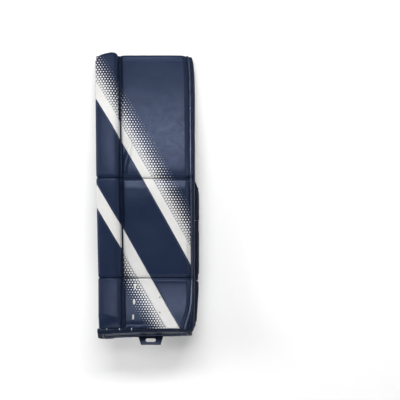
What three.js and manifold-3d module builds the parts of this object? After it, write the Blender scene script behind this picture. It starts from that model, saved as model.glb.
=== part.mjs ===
// An ice hockey goalie's leg pad, junior size, lying on its back with its face up.
// The foot end is at -Y, the thigh end at +Y, and the raised roll along the outer edge is on the -X side.
//
// Every piece is first made in the pad's own flat coordinates, as a cover is cut and sewn:
// x across the pad, s down the front face from the thigh end, and d back from the front face.
// wrap() then bends them to the pad's side profile: the thigh leans back and the boot flares forward.
import * as THREE from "three";
import { mergeVertices } from "three/addons/utils/BufferGeometryUtils.js";
import Module from "manifold-3d";

const wasm = await Module();
wasm.setup();

const clearance = 0.3;
const degree = Math.PI / 180;

// Lengths down the front face
const thighLength = 326;
const shinLength = 254;
const bootLength = 134;

// Reaches from the centre line, and the front roll along the outer edge
const outerReach = 134.5;
const innerReach = 119;
const rollWidth = 60;
const rollHeight = 25;
const rollOverhang = 2;
const rollTopInset = 4;
const rollTopSlant = 13;
const rollBevelSlant = 22;
const rollBevelLength = 36;
const rollEndRound = 7;
const grooveWidth = 4;
const grooveDepth = 2;
const taper = 14.5; // how far the outer edge draws in towards the foot

// The foam core and the shape of its face
const coreThickness = 50;
const crownHeight = 6;
const breakDepth = 5;
const breakReach = 16;
const topRound = 12;
const shoulderInset = 8;
const toeInset = 2;
const edgeDrop = 2;
const edgeRound = 14;
const toeRound = 42;
const toeFall = 28;
const backRound = 8;

// Leather, piping and binding
const leather = 1.5;
const pipingRadius = 2;
const bindingThickness = 6;
const bindingProud = 4;

// The two stripes, set in as leather panels
const upperStripeWidth = 24;
const lowerStripeWidth = 30;
const stripeSlope = 60;
const upperStripeStart = 74;
const lowerStripeStart = 340;
const stripeEdgeGap = 3.5;

// The toe tab, which takes the lace of the skate
const tabThickness = 4;
const tabTopWidth = 72;
const tabEndWidth = 53;
const tabCentre = 3;
const tabLap = 38;
const tabReach = 18.5;
const slotLength = 28;
const slotWidth = 10;
const slotFromEnd = 12.5;

// The pads behind the core that hold the leg
const wingThickness = 22;
const wingInset = 24;
const kneeWingAboveBreak = 22;
const kneeWingLength = 98;
const calfWingFromBoot = 13;
const wingGap = 5;
const kneeBlockWidth = 72;
const kneeBlockLength = 108;
const calfRiserWidth = 56;
const riserProud = 11;
const riserRound = 10;
const meetingRound = 0.3; // share of the rounding where two walls meet end to end
const flapReach = 58;
const flapThickness = 22;
const flapDrift = 8;
const flapRound = 6;

// The webbing straps and their slider buckles
const strapWidth = 38;
const strapThickness = 2.4;
const strapRise = 34;
const strapBend = 9;
const strapLift = 0.6;
const kneeStrapFromBreak = 30;
const calfStrapFromBreak = 92;
const bootStrapFromBreak = 30;
const bootStrapFromBack = 14;
const buckleLength = 28;
const buckleRim = 5;
const buckleWall = 2.6;
const buckleFromRiser = 34;

// Places that follow from the sizes above
const padLength = thighLength + shinLength + bootLength;
const outerX = -outerReach;
const rollOuterX = outerX - rollOverhang;
const rollInnerX = rollOuterX + rollWidth;
const grooveX = rollInnerX + grooveWidth;
const starts = { thigh: 0, shin: thighLength, boot: thighLength + shinLength };
const lengths = { thigh: thighLength, shin: shinLength, boot: bootLength };

// The side profile: the slope of the face, in degrees, at places down each part
const slopeRows = [
  { part: "thigh", share: 0.0, slope: 15 },
  { part: "thigh", share: 0.55, slope: 13 },
  { part: "thigh", share: 0.9, slope: 9 },
  { part: "shin", share: 0.12, slope: 1 },
  { part: "shin", share: 0.25, slope: 0 },
  { part: "shin", share: 0.93, slope: 0 },
  { part: "boot", share: 0.18, slope: 17 },
  { part: "boot", share: 1.0, slope: 26 },
];

// The core's thickness, as shares of coreThickness
const thicknessRows = [
  { part: "thigh", share: 0.0, thickness: 0.8 },
  { part: "thigh", share: 0.8, thickness: 1.0 },
  { part: "boot", share: 0.0, thickness: 1.0 },
  { part: "boot", share: 1.0, thickness: 0.8 },
];

// The edge away from the roll: shares of the shoulder's inset, the toe's inset, and the toe's rounding
const edgeRows = [
  { part: "thigh", share: 0.0, shoulder: 1.0, toe: 0.0, round: 0.2 },
  { part: "thigh", share: 0.04, shoulder: 0.54, toe: 0.0, round: 0.2 },
  { part: "thigh", share: 0.15, shoulder: 0.16, toe: 0.0, round: 0.2 },
  { part: "thigh", share: 0.35, shoulder: 0.0, toe: 0.0, round: 0.2 },
  { part: "shin", share: 0.12, shoulder: 0.0, toe: 0.0, round: 0.12 },
  { part: "shin", share: 0.8, shoulder: 0.0, toe: 0.0, round: 0.0 },
  { part: "boot", share: 0.24, shoulder: 0.0, toe: 0.0, round: 0.0 },
  { part: "boot", share: 0.48, shoulder: 0.0, toe: 0.2, round: 0.08 },
  { part: "boot", share: 0.67, shoulder: 0.0, toe: 0.45, round: 0.28 },
  { part: "boot", share: 0.84, shoulder: 0.0, toe: 0.74, round: 0.72 },
  { part: "boot", share: 1.0, shoulder: 0.0, toe: 1.0, round: 1.0 },
];

// The face's pillow across the pad, from the groove to where the edge turns down
const crownRows = [
  { across: 0.035, rise: 0.3 },
  { across: 0.09, rise: 0.66 },
  { across: 0.2, rise: 0.9 },
  { across: 0.4, rise: 1.0 },
  { across: 0.62, rise: 1.0 },
  { across: 0.82, rise: 0.84 },
  { across: 0.94, rise: 0.4 },
];

// How the face falls into the crease at a section's end, as shares of breakReach and breakDepth
const creaseRows = [
  { reach: 0.0, drop: 1.0 },
  { reach: 0.2, drop: 0.55 },
  { reach: 0.5, drop: 0.2 },
  { reach: 1.0, drop: 0.0 },
];

// The roll's section, as shares of its width and height; top is the share of the slant at its thigh end
const rollRows = [
  { across: 0.03, up: 0.0, top: 1.0 },
  { across: 0.0, up: 0.14, top: 1.0 },
  { across: 0.0, up: 0.52, top: 1.0 },
  { across: 0.03, up: 0.76, top: 0.78 },
  { across: 0.1, up: 0.92, top: 0.45 },
  { across: 0.24, up: 1.0, top: 0.12 },
  { across: 0.5, up: 1.03, top: -0.14 },
  { across: 0.77, up: 1.0, top: -0.3 },
  { across: 0.88, up: 0.93, top: -0.3 },
  { across: 0.94, up: 0.76, top: -0.24 },
  { across: 0.97, up: 0.5, top: -0.14 },
  { across: 1.0, up: 0.12, top: -0.14 },
  { across: 0.985, up: 0.0, top: -0.14 },
];

// The outline of a boot flap seen from the side, as shares of its length and reach
const flapRows = [
  { along: 0.0, reach: 0.0 },
  { along: 0.0, reach: 0.7 },
  { along: 0.05, reach: 0.93 },
  { along: 0.14, reach: 1.0 },
  { along: 0.42, reach: 1.0 },
  { along: 0.56, reach: 0.92 },
  { along: 0.8, reach: 0.5 },
  { along: 0.95, reach: 0.2 },
  { along: 1.0, reach: 0.0 },
];

const mix = THREE.MathUtils.lerp;
const placeOf = (row) => starts[row.part] + row.share * lengths[row.part];

// The value of a column at s, on straight lines between the rows
function follow(rows, column, s) {
  const next = rows.findIndex((row) => placeOf(row) >= s);
  if (next === 0) return rows[0][column];
  if (next < 0) return rows.at(-1)[column];
  const [before, after] = [rows[next - 1], rows[next]];
  const share = (s - placeOf(before)) / (placeOf(after) - placeOf(before));
  return mix(before[column], after[column], share);
}

const slopeAt = (s) => follow(slopeRows, "slope", s) * degree;
const backAt = (s) => coreThickness * follow(thicknessRows, "thickness", s);

// Where a section is also cut across, closer together where the profile bends
const middleShares = {
  thigh: [0.2, 0.4, 0.58, 0.72, 0.83, 0.9],
  shin: [0.12, 0.25, 0.45, 0.65, 0.8, 0.89],
  boot: [0.18, 0.24, 0.36, 0.48, 0.6, 0.72, 0.84, 0.93],
};

// Stations down one section, with how far the face and the back drop at each
function sectionStations(part) {
  const start = starts[part] + (part === "thigh" ? 0 : clearance / 2);
  const end = starts[part] + lengths[part] - (part === "boot" ? 0 : clearance / 2);
  const crease = creaseRows.map((row) => ({
    from: row.reach * breakReach,
    drop: row.drop * breakDepth,
    backDrop: 0,
  }));
  const roundOver = [0, 30, 60, 90].map((angle) => ({
    from: topRound * (1 - Math.cos(angle * degree)),
    drop: topRound * (1 - Math.sin(angle * degree)),
    backDrop: (topRound / 2) * (1 - Math.sin(angle * degree)),
  }));
  const flush = [{ from: 0, drop: 0, backDrop: 0 }];
  const first = part === "thigh" ? roundOver : crease;
  const last = part === "boot" ? flush : crease;
  const inner = middleShares[part].map((share) => ({
    s: mix(start, end, share),
    drop: 0,
    backDrop: 0,
  }));
  return [
    ...first.map((row) => ({ ...row, s: start + row.from })),
    ...inner,
    ...last.map((row) => ({ ...row, s: end - row.from })).reverse(),
  ];
}

// The side profile of the front face, walked down from the thigh end in short steps and kept at the
// stations, so that it runs straight between them as the core's own flat faces do
const walkStep = 0.5;

function walkProfile() {
  const places = Object.keys(starts).flatMap((part) => sectionStations(part).map(({ s }) => s));
  let [s, y, z] = [0, 0, 0];
  return places.map((place) => {
    const steps = Math.ceil((place - s) / walkStep);
    const step = steps > 0 ? (place - s) / steps : 0;
    for (let i = 0; i < steps; i++) {
      const slope = slopeAt(s + step / 2);
      [s, y, z] = [s + step, y - step * Math.cos(slope), z + step * Math.sin(slope)];
    }
    return { s: place, y, z, back: Math.sin(slopeAt(place)), down: Math.cos(slopeAt(place)) };
  });
}

const profile = walkProfile();

// The face's place and the direction into the pad at s; past the ends the profile runs straight on
function frameAt(s) {
  const inside = THREE.MathUtils.clamp(s, 0, padLength);
  const next = Math.max(profile.findIndex((row) => row.s >= inside), 1);
  const [a, b] = [profile[next - 1], profile[next]];
  const share = (inside - a.s) / (b.s - a.s);
  const [back, down] = [mix(a.back, b.back, share), mix(a.down, b.down, share)];
  const past = s - inside;
  return {
    y: mix(a.y, b.y, share) - past * down,
    z: mix(a.z, b.z, share) + past * back,
    back,
    down,
  };
}

// The pad lies with the back of its thigh on the floor, so that sets the floor's height
function backHeight(s) {
  const { z, down } = frameAt(s);
  return z - backAt(s) * down;
}

const floorHeight = Math.min(
  ...sectionStations("thigh").map(({ s, backDrop }) => backHeight(s) + backDrop * frameAt(s).down),
);

// The depth behind the face at which a point stands at a height over the floor
function depthAt(s, height) {
  const { z, down } = frameAt(s);
  return (z - floorHeight - height) / down;
}

// From flat coordinates to the pad's own space
function at(x, s, d) {
  const { y, z, back, down } = frameAt(s);
  const outward = THREE.MathUtils.clamp((innerReach - x) / (innerReach - grooveX), 0, 1);
  const drawnIn = taper * (s / padLength) * outward;
  return [x + drawnIn, y - d * back, z - floorHeight - d * down];
}

function wrap(geometry) {
  const position = geometry.getAttribute("position");
  for (let i = 0; i < position.count; i++)
    position.setXYZ(i, ...at(position.getX(i), position.getY(i), position.getZ(i)));
  return geometry;
}

function geometryFrom(points, triangles) {
  const geometry = new THREE.BufferGeometry();
  geometry.setAttribute("position", new THREE.Float32BufferAttribute(points.flat(), 3));
  geometry.setIndex(triangles.flat());
  return geometry;
}

// Six times the volume that the triangles enclose; it is negative if they face inwards
function signedVolume(points, triangles) {
  return triangles.reduce((sum, triangle) => {
    const [a, b, c] = triangle.map((i) => new THREE.Vector3(...points[i]));
    return sum + a.dot(b.cross(c));
  }, 0);
}

// The triangles that fill a closed ring, turning the way that the ring does
function fillRing(ring) {
  const area = (points) => THREE.ShapeUtils.area(points);
  const triangles = THREE.ShapeUtils.triangulateShape(ring, []);
  const filled = triangles.reduce((sum, corners) => sum + area(corners.map((i) => ring[i])), 0);
  const same = Math.sign(filled) === Math.sign(area(ring));
  return same ? triangles : triangles.map((corners) => [...corners].reverse());
}

// A closed solid through a row of closed rings; plane names the two coordinates that the end caps lie in.
// Each quad is split from its smaller x towards its larger x, so that layers on each other split alike.
function loft(rings, plane = [0, 2]) {
  const count = rings[0].length;
  const points = rings.flat();
  const triangles = [];
  for (let i = 0; i < rings.length - 1; i++)
    for (let j = 0; j < count; j++) {
      const next = (j + 1) % count;
      const [a, b] = [i * count + j, i * count + next];
      const [c, d] = [a + count, b + count];
      if (rings[i][j][0] <= rings[i][next][0]) triangles.push([a, c, d], [a, d, b]);
      else triangles.push([a, c, b], [b, c, d]);
    }
  const flat = (ring) => ring.map((p) => new THREE.Vector2(p[plane[0]], p[plane[1]]));
  const last = (rings.length - 1) * count;
  for (const [a, b, c] of fillRing(flat(rings[0]))) triangles.push([a, b, c]);
  for (const [a, b, c] of fillRing(flat(rings.at(-1))))
    triangles.push([c + last, b + last, a + last]);
  if (signedVolume(points, triangles) < 0) triangles.forEach((triangle) => triangle.reverse());
  return geometryFrom(points, triangles);
}

// The same, through rings given in the pad's flat coordinates
const bentLoft = (rings, plane) =>
  loft(
    rings.map((ring) => ring.map((point) => at(...point))),
    plane,
  );

function solidOf(geometry) {
  const bare = geometry.clone();
  bare.deleteAttribute("normal");
  bare.deleteAttribute("uv");
  const merged = mergeVertices(bare, 1e-4);
  return new wasm.Manifold(
    new wasm.Mesh({
      numProp: 3,
      vertProperties: merged.getAttribute("position").array,
      triVerts: new Uint32Array(merged.index.array),
    }),
  );
}

function geometryOf(solid) {
  const mesh = solid.getMesh();
  const geometry = new THREE.BufferGeometry();
  geometry.setAttribute("position", new THREE.BufferAttribute(mesh.vertProperties, 3));
  geometry.setIndex(new THREE.BufferAttribute(mesh.triVerts, 1));
  return geometry;
}

// Points of an open or closed line in the x-d plane, moved out along its own normals
function grow(points, distance) {
  return points.map(([x, s, d], i) => {
    const before = points[Math.max(i - 1, 0)];
    const after = points[Math.min(i + 1, points.length - 1)];
    const along = new THREE.Vector2(after[0] - before[0], after[2] - before[2]).normalize();
    return [x + distance * along.y, s, d - distance * along.x];
  });
}

// A thin layer over a row of lines, from its gap over them to its gap plus its thickness
function skin(lines) {
  return bentLoft(
    lines.map((line) => [
      ...grow(line, clearance + leather),
      ...grow(line, clearance).reverse(),
    ]),
  );
}

// The edge away from the roll at s: the side wall's place, and how far its rounding reaches in and down
function edgeAt(s) {
  const share = (column) => follow(edgeRows, column, s);
  return {
    wall: innerReach - shoulderInset * share("shoulder") - toeInset * share("toe"),
    reach: mix(edgeRound, toeRound, share("round")),
    fall: mix(edgeRound, toeFall, share("round")),
  };
}

const edgeAngles = [90, 67.5, 45, 22.5, 0];
const pipingAngle = edgeAngles[1];

function edgePoint(s, angle, out = 0) {
  const { wall, reach, fall } = edgeAt(s);
  return [
    wall - reach + (reach + out) * Math.cos(angle * degree),
    s,
    edgeDrop + fall - (fall + out) * Math.sin(angle * degree),
  ];
}

// The face from the groove to the rounded edge, dropped by a distance
function faceLine(s, drop) {
  const [edgeX] = edgePoint(s, edgeAngles[0]);
  const pillow = crownRows.map(({ across, rise }) => [
    mix(grooveX, edgeX, across),
    s,
    drop - rise * crownHeight,
  ]);
  const turn = edgeAngles.map((angle) => {
    const [x, , d] = edgePoint(s, angle);
    return [x, s, d + drop * Math.sin(angle * degree)];
  });
  return [[grooveX, s, Math.max(grooveDepth, drop)], ...pillow, ...turn];
}

function coreRing(s, drop, backDrop) {
  const { wall } = edgeAt(s);
  const back = backAt(s) - backDrop;
  const corner = backRound * (1 - Math.SQRT1_2);
  const front = Math.max(0, drop - grooveDepth);
  return [
    [outerX, s, front + 3],
    [outerX + 3, s, front],
    [rollInnerX, s, front],
    ...faceLine(s, drop),
    [wall, s, back - backRound],
    [wall - corner, s, back - corner],
    [wall - backRound, s, back],
    [outerX + backRound, s, back],
    [outerX + corner, s, back - corner],
    [outerX, s, back - backRound],
  ];
}

const core = (part) =>
  bentLoft(sectionStations(part).map(({ s, drop, backDrop }) => coreRing(s, drop, backDrop)));

// One line over the roll's section; lift is the share of its height, and inset narrows it at an end
function rollLine({ s, inset = 0, lift = 1, slant = 0, bevel = 0 }) {
  const width = rollWidth - 2 * inset;
  const height = rollHeight * lift - inset;
  return rollRows.map(({ across, up, top }) => [
    rollOuterX + inset + across * width,
    s + slant * rollTopSlant * top + bevel * rollBevelSlant * across,
    -clearance - up * height,
  ]);
}

// The rounding at a roll's end, from the end inwards
const rollRounding = [0, 35, 65, 90].map((angle) => ({
  from: rollEndRound * (1 - Math.cos(angle * degree)),
  inset: rollEndRound * (1 - Math.sin(angle * degree)) * 0.6,
}));

function rollStations(part) {
  const slant = part === "thigh" ? 1 : 0;
  const start = starts[part] + (slant ? rollTopInset : clearance / 2);
  const end = starts[part] + lengths[part] - clearance / 2;
  const first = rollRounding.map(({ from, inset }) => ({ s: start + from, inset, slant }));
  const middle = sectionStations(part).map(({ s }) => ({ s }));
  const between = (from, to) => middle.filter(({ s }) => s > from && s < to);
  if (part !== "boot") {
    const last = rollRounding.map(({ from, inset }) => ({ s: end - from, inset })).reverse();
    const reach = slant ? rollTopSlant + rollEndRound * 2 : rollEndRound;
    return [...first, ...between(start + reach, end - rollEndRound), ...last];
  }
  const crease = end - rollBevelLength - rollBevelSlant * 0.2;
  return [
    ...first,
    ...between(start + rollEndRound, crease - rollEndRound),
    { s: crease, bevel: 1 },
    { s: mix(crease, end, 0.25), bevel: 0.8, lift: 0.86 },
    { s: end - rollEndRound / 2, lift: 0.4 },
    { s: end, lift: 0.34, inset: rollEndRound / 4 },
  ];
}

const roll = (part) => bentLoft(rollStations(part).map(rollLine));

// A stripe's outline taken through the whole pad: a band at stripeSlope that starts at s on the roll's
// outer edge. It is bent with the pad, as the pieces that it cuts are.
function stripePrism(startS, width) {
  const slope = Math.tan(stripeSlope * degree);
  const rise = width / Math.cos(stripeSlope * degree);
  const [left, right] = [rollOuterX - rollOverhang * 2, innerReach - edgeRound + stripeEdgeGap];
  const steps = 16;
  const rings = Array.from({ length: steps + 1 }, (_, i) => {
    const x = mix(left, right, i / steps);
    const s = startS + (x - rollOuterX) * slope;
    return [
      [x, s, -2 * rollHeight],
      [x, s + rise, -2 * rollHeight],
      [x, s + rise, coreThickness],
      [x, s, coreThickness],
    ];
  });
  return solidOf(bentLoft(rings, [1, 2]));
}

const upperStripe = stripePrism(upperStripeStart, upperStripeWidth);
const lowerStripe = stripePrism(lowerStripeStart, lowerStripeWidth);

// The part of a section's face, without its rounded edge, that a stripe covers
function faceStripe(part, stripe) {
  const lines = sectionStations(part)
    .filter(({ drop }) => drop <= breakDepth)
    .map(({ s, drop }) => faceLine(s, drop).slice(1, crownRows.length + 3));
  return geometryOf(solidOf(skin(lines)).intersect(stripe));
}

function rollStripe(part, stripe) {
  const lines = rollStations(part).map((row) => rollLine(row).slice(1, -1));
  return geometryOf(solidOf(skin(lines)).intersect(stripe));
}

// Piping sewn along the face's edge
function piping(part) {
  const sides = 8;
  const stations = sectionStations(part);
  const rings = stations.map(({ s, drop }) => {
    const [x, , d] = edgePoint(s, pipingAngle, clearance + pipingRadius);
    return Array.from({ length: sides }, (_, i) => {
      const turn = ((i + 0.5) / sides) * 2 * Math.PI;
      return [
        x + pipingRadius * Math.cos(turn),
        s,
        d + drop * Math.sin(pipingAngle * degree) + pipingRadius * Math.sin(turn),
      ];
    });
  });
  return bentLoft(rings);
}

// The core's outline at its foot end, grown by a distance, with a plain front
function toeOutline(s, out) {
  const { wall } = edgeAt(padLength);
  const back = backAt(padLength) + out;
  const corner = backRound * (1 - Math.SQRT1_2);
  const turn = edgeAngles.map((angle) => {
    const [x, , d] = edgePoint(padLength, angle, out);
    return [x, s, d];
  });
  return [
    [outerX - out, s, corner],
    [outerX + corner - out, s, -out],
    [grooveX, s, -out],
    ...turn,
    [wall + out, s, back - backRound],
    [wall + out - corner, s, back - corner],
    [wall + out - backRound, s, back],
    [outerX + backRound, s, back],
    [outerX - out + corner, s, back - corner],
    [outerX - out, s, back - backRound],
  ];
}

const bindingEnd = padLength + clearance + bindingThickness;

function toeBinding() {
  const begin = padLength + clearance;
  return bentLoft([
    toeOutline(begin, bindingProud * 0.6),
    toeOutline(mix(begin, bindingEnd, 0.25), bindingProud),
    toeOutline(mix(begin, bindingEnd, 0.7), bindingProud),
    toeOutline(bindingEnd, bindingProud * 0.1),
  ]);
}

// A flat tab behind the toe, lapped onto the core's back, with a slot for the lace
function toeTab() {
  const front = backAt(padLength) + bindingProud + clearance;
  const end = bindingEnd + tabReach;
  const rows = [
    { s: padLength - tabLap, width: tabTopWidth, lap: 1 },
    { s: padLength - bindingProud, width: tabTopWidth, lap: 1 },
    { s: padLength, width: tabTopWidth, lap: 0 },
    { s: bindingEnd, width: tabTopWidth, lap: 0 },
    { s: end, width: tabEndWidth, lap: 0 },
  ];
  const rings = rows.map(({ s, width, lap }) => {
    const near = mix(front, backAt(Math.min(s, padLength)) + clearance, lap);
    const far = front + tabThickness;
    return [
      [tabCentre - width / 2, s, near],
      [tabCentre + width / 2, s, near],
      [tabCentre + width / 2, s, far],
      [tabCentre - width / 2, s, far],
    ];
  });
  const slot = new THREE.Shape();
  const half = (slotLength - slotWidth) / 2;
  const radius = slotWidth / 2;
  slot.absarc(half, 0, radius, -Math.PI / 2, Math.PI / 2, false);
  slot.absarc(-half, 0, radius, Math.PI / 2, (3 * Math.PI) / 2, false);
  const depth = 4 * tabThickness;
  const cutter = new THREE.ExtrudeGeometry(slot, { depth, bevelEnabled: false, curveSegments: 6 });
  cutter.translate(tabCentre, end - slotFromEnd, front - tabThickness);
  return wrap(geometryOf(solidOf(loft(rings)).subtract(solidOf(cutter))));
}

// A padded wall that stands behind the core. Its outline, seen from the side, comes back along the
// core's own stations; the wall's two faces are rounded over by round, at each end by its share in ends.
function standingPad({ x0, x1, s0, s1, outline, round, drift = 0, ends = [1, 1] }) {
  const faces = [
    { x: x0, inset: round },
    { x: x0 + round * 0.3, inset: round * 0.3 },
    { x: x0 + round, inset: 0 },
    { x: x1 - round, inset: 0 },
    { x: x1 - round * 0.3, inset: round * 0.3 },
    { x: x1, inset: round },
  ];
  const shareOf = (s) => (s - s0) / (s1 - s0);
  const shares = profile
    .filter(({ s }) => s > s0 + 1 && s < s1 - 1)
    .map(({ s }) => shareOf(s))
    .reverse();
  const rings = faces.map(({ x, inset }) => {
    const [from, to] = [s0 + inset * ends[0], s1 - inset * ends[1]];
    const base = shares.map((share) => {
      const s = mix(from, to, share);
      return [s, backAt(s) + clearance];
    });
    const ring = [...outline(from, to, inset), ...base];
    return ring.map(([s, d]) => [x + drift * shareOf(s), s, d]);
  });
  return bentLoft(rings, [1, 2]);
}

// An outline that runs out to the floor between two rounded corners
function floorOutline(corner) {
  const turn = [0, 30, 60, 90].map((angle) => ({
    along: corner * (1 - Math.cos(angle * degree)),
    short: corner * (1 - Math.sin(angle * degree)),
  }));
  return (s0, s1, inset) => {
    const toFloor = (s, short) => [s, depthAt(s, short + inset)];
    return [
      [s0, backAt(s0) + clearance],
      ...turn.map(({ along, short }) => toFloor(s0 + along, short)),
      ...[0.35, 0.65].map((share) => toFloor(mix(s0, s1, share), 0)),
      ...turn.map(({ along, short }) => toFloor(s1 - along, short)).reverse(),
      [s1, backAt(s1) + clearance],
    ];
  };
}

function flapOutline(s0, s1, inset) {
  return flapRows.map(({ along, reach }) => {
    const s = mix(s0, s1, along);
    return [s, backAt(s) + clearance + reach * (flapReach - inset)];
  });
}

const wingX = outerX + wingInset;
const riserX = innerReach + riserProud;
const kneeWingStart = starts.shin - kneeWingAboveBreak;
const calfWingStart = kneeWingStart + kneeWingLength + wingGap;
const calfWingEnd = starts.boot - calfWingFromBoot;
const kneeBlockStart = starts.shin + clearance;
const calfRiserStart = kneeBlockStart + kneeBlockLength + clearance;
const calfRiserEnd = starts.boot - clearance;
const flapStart = starts.boot + clearance;
const flapEnd = padLength - bootLength * 0.12;

const kneeWing = () =>
  standingPad({
    x0: wingX,
    x1: wingX + wingThickness,
    s0: kneeWingStart,
    s1: kneeWingStart + kneeWingLength,
    outline: floorOutline(20),
    round: flapRound,
  });

const calfWing = () =>
  standingPad({
    x0: wingX,
    x1: wingX + wingThickness,
    s0: calfWingStart,
    s1: calfWingEnd,
    outline: floorOutline(26),
    round: flapRound,
  });

const kneeBlock = () =>
  standingPad({
    x0: riserX - kneeBlockWidth,
    x1: riserX,
    s0: kneeBlockStart,
    s1: kneeBlockStart + kneeBlockLength,
    outline: floorOutline(riserRound),
    round: riserRound,
    ends: [1, meetingRound],
  });

const calfRiser = () =>
  standingPad({
    x0: riserX - calfRiserWidth,
    x1: riserX,
    s0: calfRiserStart,
    s1: calfRiserEnd,
    outline: floorOutline(riserRound),
    round: riserRound,
    ends: [meetingRound, meetingRound],
  });

const innerFlap = () =>
  standingPad({
    x0: riserX - flapThickness,
    x1: riserX,
    s0: flapStart,
    s1: flapEnd,
    outline: flapOutline,
    round: flapRound,
    drift: -flapDrift,
    ends: [meetingRound, 1],
  });

const outerFlap = () =>
  standingPad({
    x0: wingX,
    x1: wingX + flapThickness,
    s0: flapStart,
    s1: flapEnd,
    outline: flapOutline,
    round: flapRound,
  });

// The centre line of a strap between two walls, as [x, height] over the surface it lies on.
// It runs down one wall, across, up over the buckle's foot, and up the other wall.
function strapLine(x0, x1, rise, buckleX) {
  const half = strapThickness / 2;
  const [left, right] = [x0 + clearance + half, x1 - clearance - half];
  const low = strapLift + half;
  const high = low + buckleWall;
  const ramp = buckleLength / 2 + 6;
  const bend = [0, 30, 60, 90].map((angle) => [
    strapBend * (1 - Math.cos(angle * degree)),
    strapBend * (1 - Math.sin(angle * degree)),
  ]);
  return [
    [left, rise],
    ...bend.map(([over, up]) => [left + over, low + up]),
    [buckleX - ramp, low],
    [buckleX - buckleLength / 2, high],
    [buckleX + buckleLength / 2, high],
    [buckleX + ramp, low],
    ...bend.map(([over, up]) => [right - over, low + up]).reverse(),
    [right, rise],
  ];
}

// A strap of webbing along a line; depthOf turns a height into a depth at s
function webbing(line, place, depthOf) {
  const half = strapThickness / 2;
  const [s0, s1] = [place - strapWidth / 2, place + strapWidth / 2];
  const rings = line.map(([x, height], i) => {
    const before = line[Math.max(i - 1, 0)];
    const after = line[Math.min(i + 1, line.length - 1)];
    const along = new THREE.Vector2(after[0] - before[0], after[1] - before[1]).normalize();
    const side = (sign) => [x - sign * half * along.y, height + sign * half * along.x];
    const corner = (sign, s) => [side(sign)[0], s, depthOf(s, side(sign)[1])];
    return [corner(1, s0), corner(1, s1), corner(-1, s1), corner(-1, s0)];
  });
  return bentLoft(rings, [0, 1]);
}

// A slider buckle: a frame with a slot that the webbing runs through
function buckle(x, place, depthOf) {
  const low = strapLift + buckleWall;
  const box = (length, width, bottom, top) => {
    const made = new THREE.BoxGeometry(length, width, top - bottom);
    return made.translate(x, place, (top + bottom) / 2);
  };
  const frame = box(
    buckleLength,
    strapWidth + 2 * (clearance + buckleRim),
    clearance,
    low + strapThickness + clearance + buckleWall,
  );
  const slot = box(
    buckleLength * 2,
    strapWidth + 2 * clearance,
    low - clearance,
    low + strapThickness + clearance,
  );
  const geometry = geometryOf(solidOf(frame).subtract(solidOf(slot)));
  const position = geometry.getAttribute("position");
  for (let i = 0; i < position.count; i++)
    position.setZ(i, depthOf(position.getY(i), position.getZ(i)));
  return wrap(turnedOut(geometry));
}

// Heights run against depths, so a mesh made on heights has its faces turned back out
function turnedOut(geometry) {
  const index = geometry.getIndex();
  for (let i = 0; i < index.count; i += 3) {
    const [b, c] = [index.getX(i + 1), index.getX(i + 2)];
    index.setX(i + 1, c);
    index.setX(i + 2, b);
  }
  return geometry;
}

const kneeStrapPlace = starts.shin + kneeStrapFromBreak;
const calfStrapPlace = starts.boot - calfStrapFromBreak;
const bootStrapPlace = starts.boot + bootStrapFromBreak;

// The boot strap crosses between the flaps near their back edge, and its heights count from there
const flapBack = (s, height) => backAt(bootStrapPlace) + flapReach - bootStrapFromBack - height;

const wingInner = wingX + wingThickness;
const straps = [
  {
    name: "knee",
    place: kneeStrapPlace,
    wall: riserX - kneeBlockWidth,
    rise: strapRise,
    depthOf: depthAt,
  },
  {
    name: "calf",
    place: calfStrapPlace,
    wall: riserX - calfRiserWidth,
    rise: strapRise,
    depthOf: depthAt,
  },
  {
    name: "boot",
    place: bootStrapPlace,
    wall:
      riserX -
      flapThickness -
      flapDrift * ((bootStrapPlace + strapWidth / 2 - flapStart) / (flapEnd - flapStart)),
    rise: strapRise,
    depthOf: flapBack,
  },
];

// Materials
const navyLeather = new THREE.MeshStandardMaterial({ color: 0x27335a, roughness: 0.45 });
const whiteLeather = new THREE.MeshStandardMaterial({ color: 0xe9e8e4, roughness: 0.5 });
const navyTrim = new THREE.MeshStandardMaterial({ color: 0x1b2443, roughness: 0.5 });
const backCloth = new THREE.MeshStandardMaterial({ color: 0x20242e, roughness: 0.9 });
const strapCloth = new THREE.MeshStandardMaterial({ color: 0x15171c, roughness: 0.85 });
const blackPlastic = new THREE.MeshStandardMaterial({ color: 0x101114, roughness: 0.35 });

function named(name, geometry, material) {
  const mesh = new THREE.Mesh(geometry, material);
  mesh.name = name;
  return mesh;
}

function frontGroup() {
  const group = new THREE.Group();
  for (const part of Object.keys(starts)) {
    group.add(named(part + "_core", core(part), navyLeather));
    group.add(named(part + "_roll", roll(part), navyLeather));
    group.add(named(part + "_edge_piping", piping(part), navyTrim));
  }
  group.add(named("toe_binding", toeBinding(), navyTrim));
  group.add(named("toe_tab", toeTab(), navyTrim));
  return group;
}

function stripeGroup() {
  const group = new THREE.Group();
  const faces = [
    ["upper_stripe_thigh", "thigh", upperStripe],
    ["upper_stripe_shin", "shin", upperStripe],
    ["lower_stripe_shin", "shin", lowerStripe],
    ["lower_stripe_boot", "boot", lowerStripe],
  ];
  for (const [name, part, stripe] of faces)
    group.add(named(name, faceStripe(part, stripe), whiteLeather));
  group.add(named("upper_stripe_roll", rollStripe("thigh", upperStripe), whiteLeather));
  group.add(named("lower_stripe_roll", rollStripe("shin", lowerStripe), whiteLeather));
  return group;
}

function backGroup() {
  const group = new THREE.Group();
  group.add(named("knee_wing", kneeWing(), backCloth));
  group.add(named("calf_wing", calfWing(), backCloth));
  group.add(named("knee_block", kneeBlock(), backCloth));
  group.add(named("calf_riser", calfRiser(), backCloth));
  group.add(named("inner_boot_flap", innerFlap(), backCloth));
  group.add(named("outer_boot_flap", outerFlap(), backCloth));
  return group;
}

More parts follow.
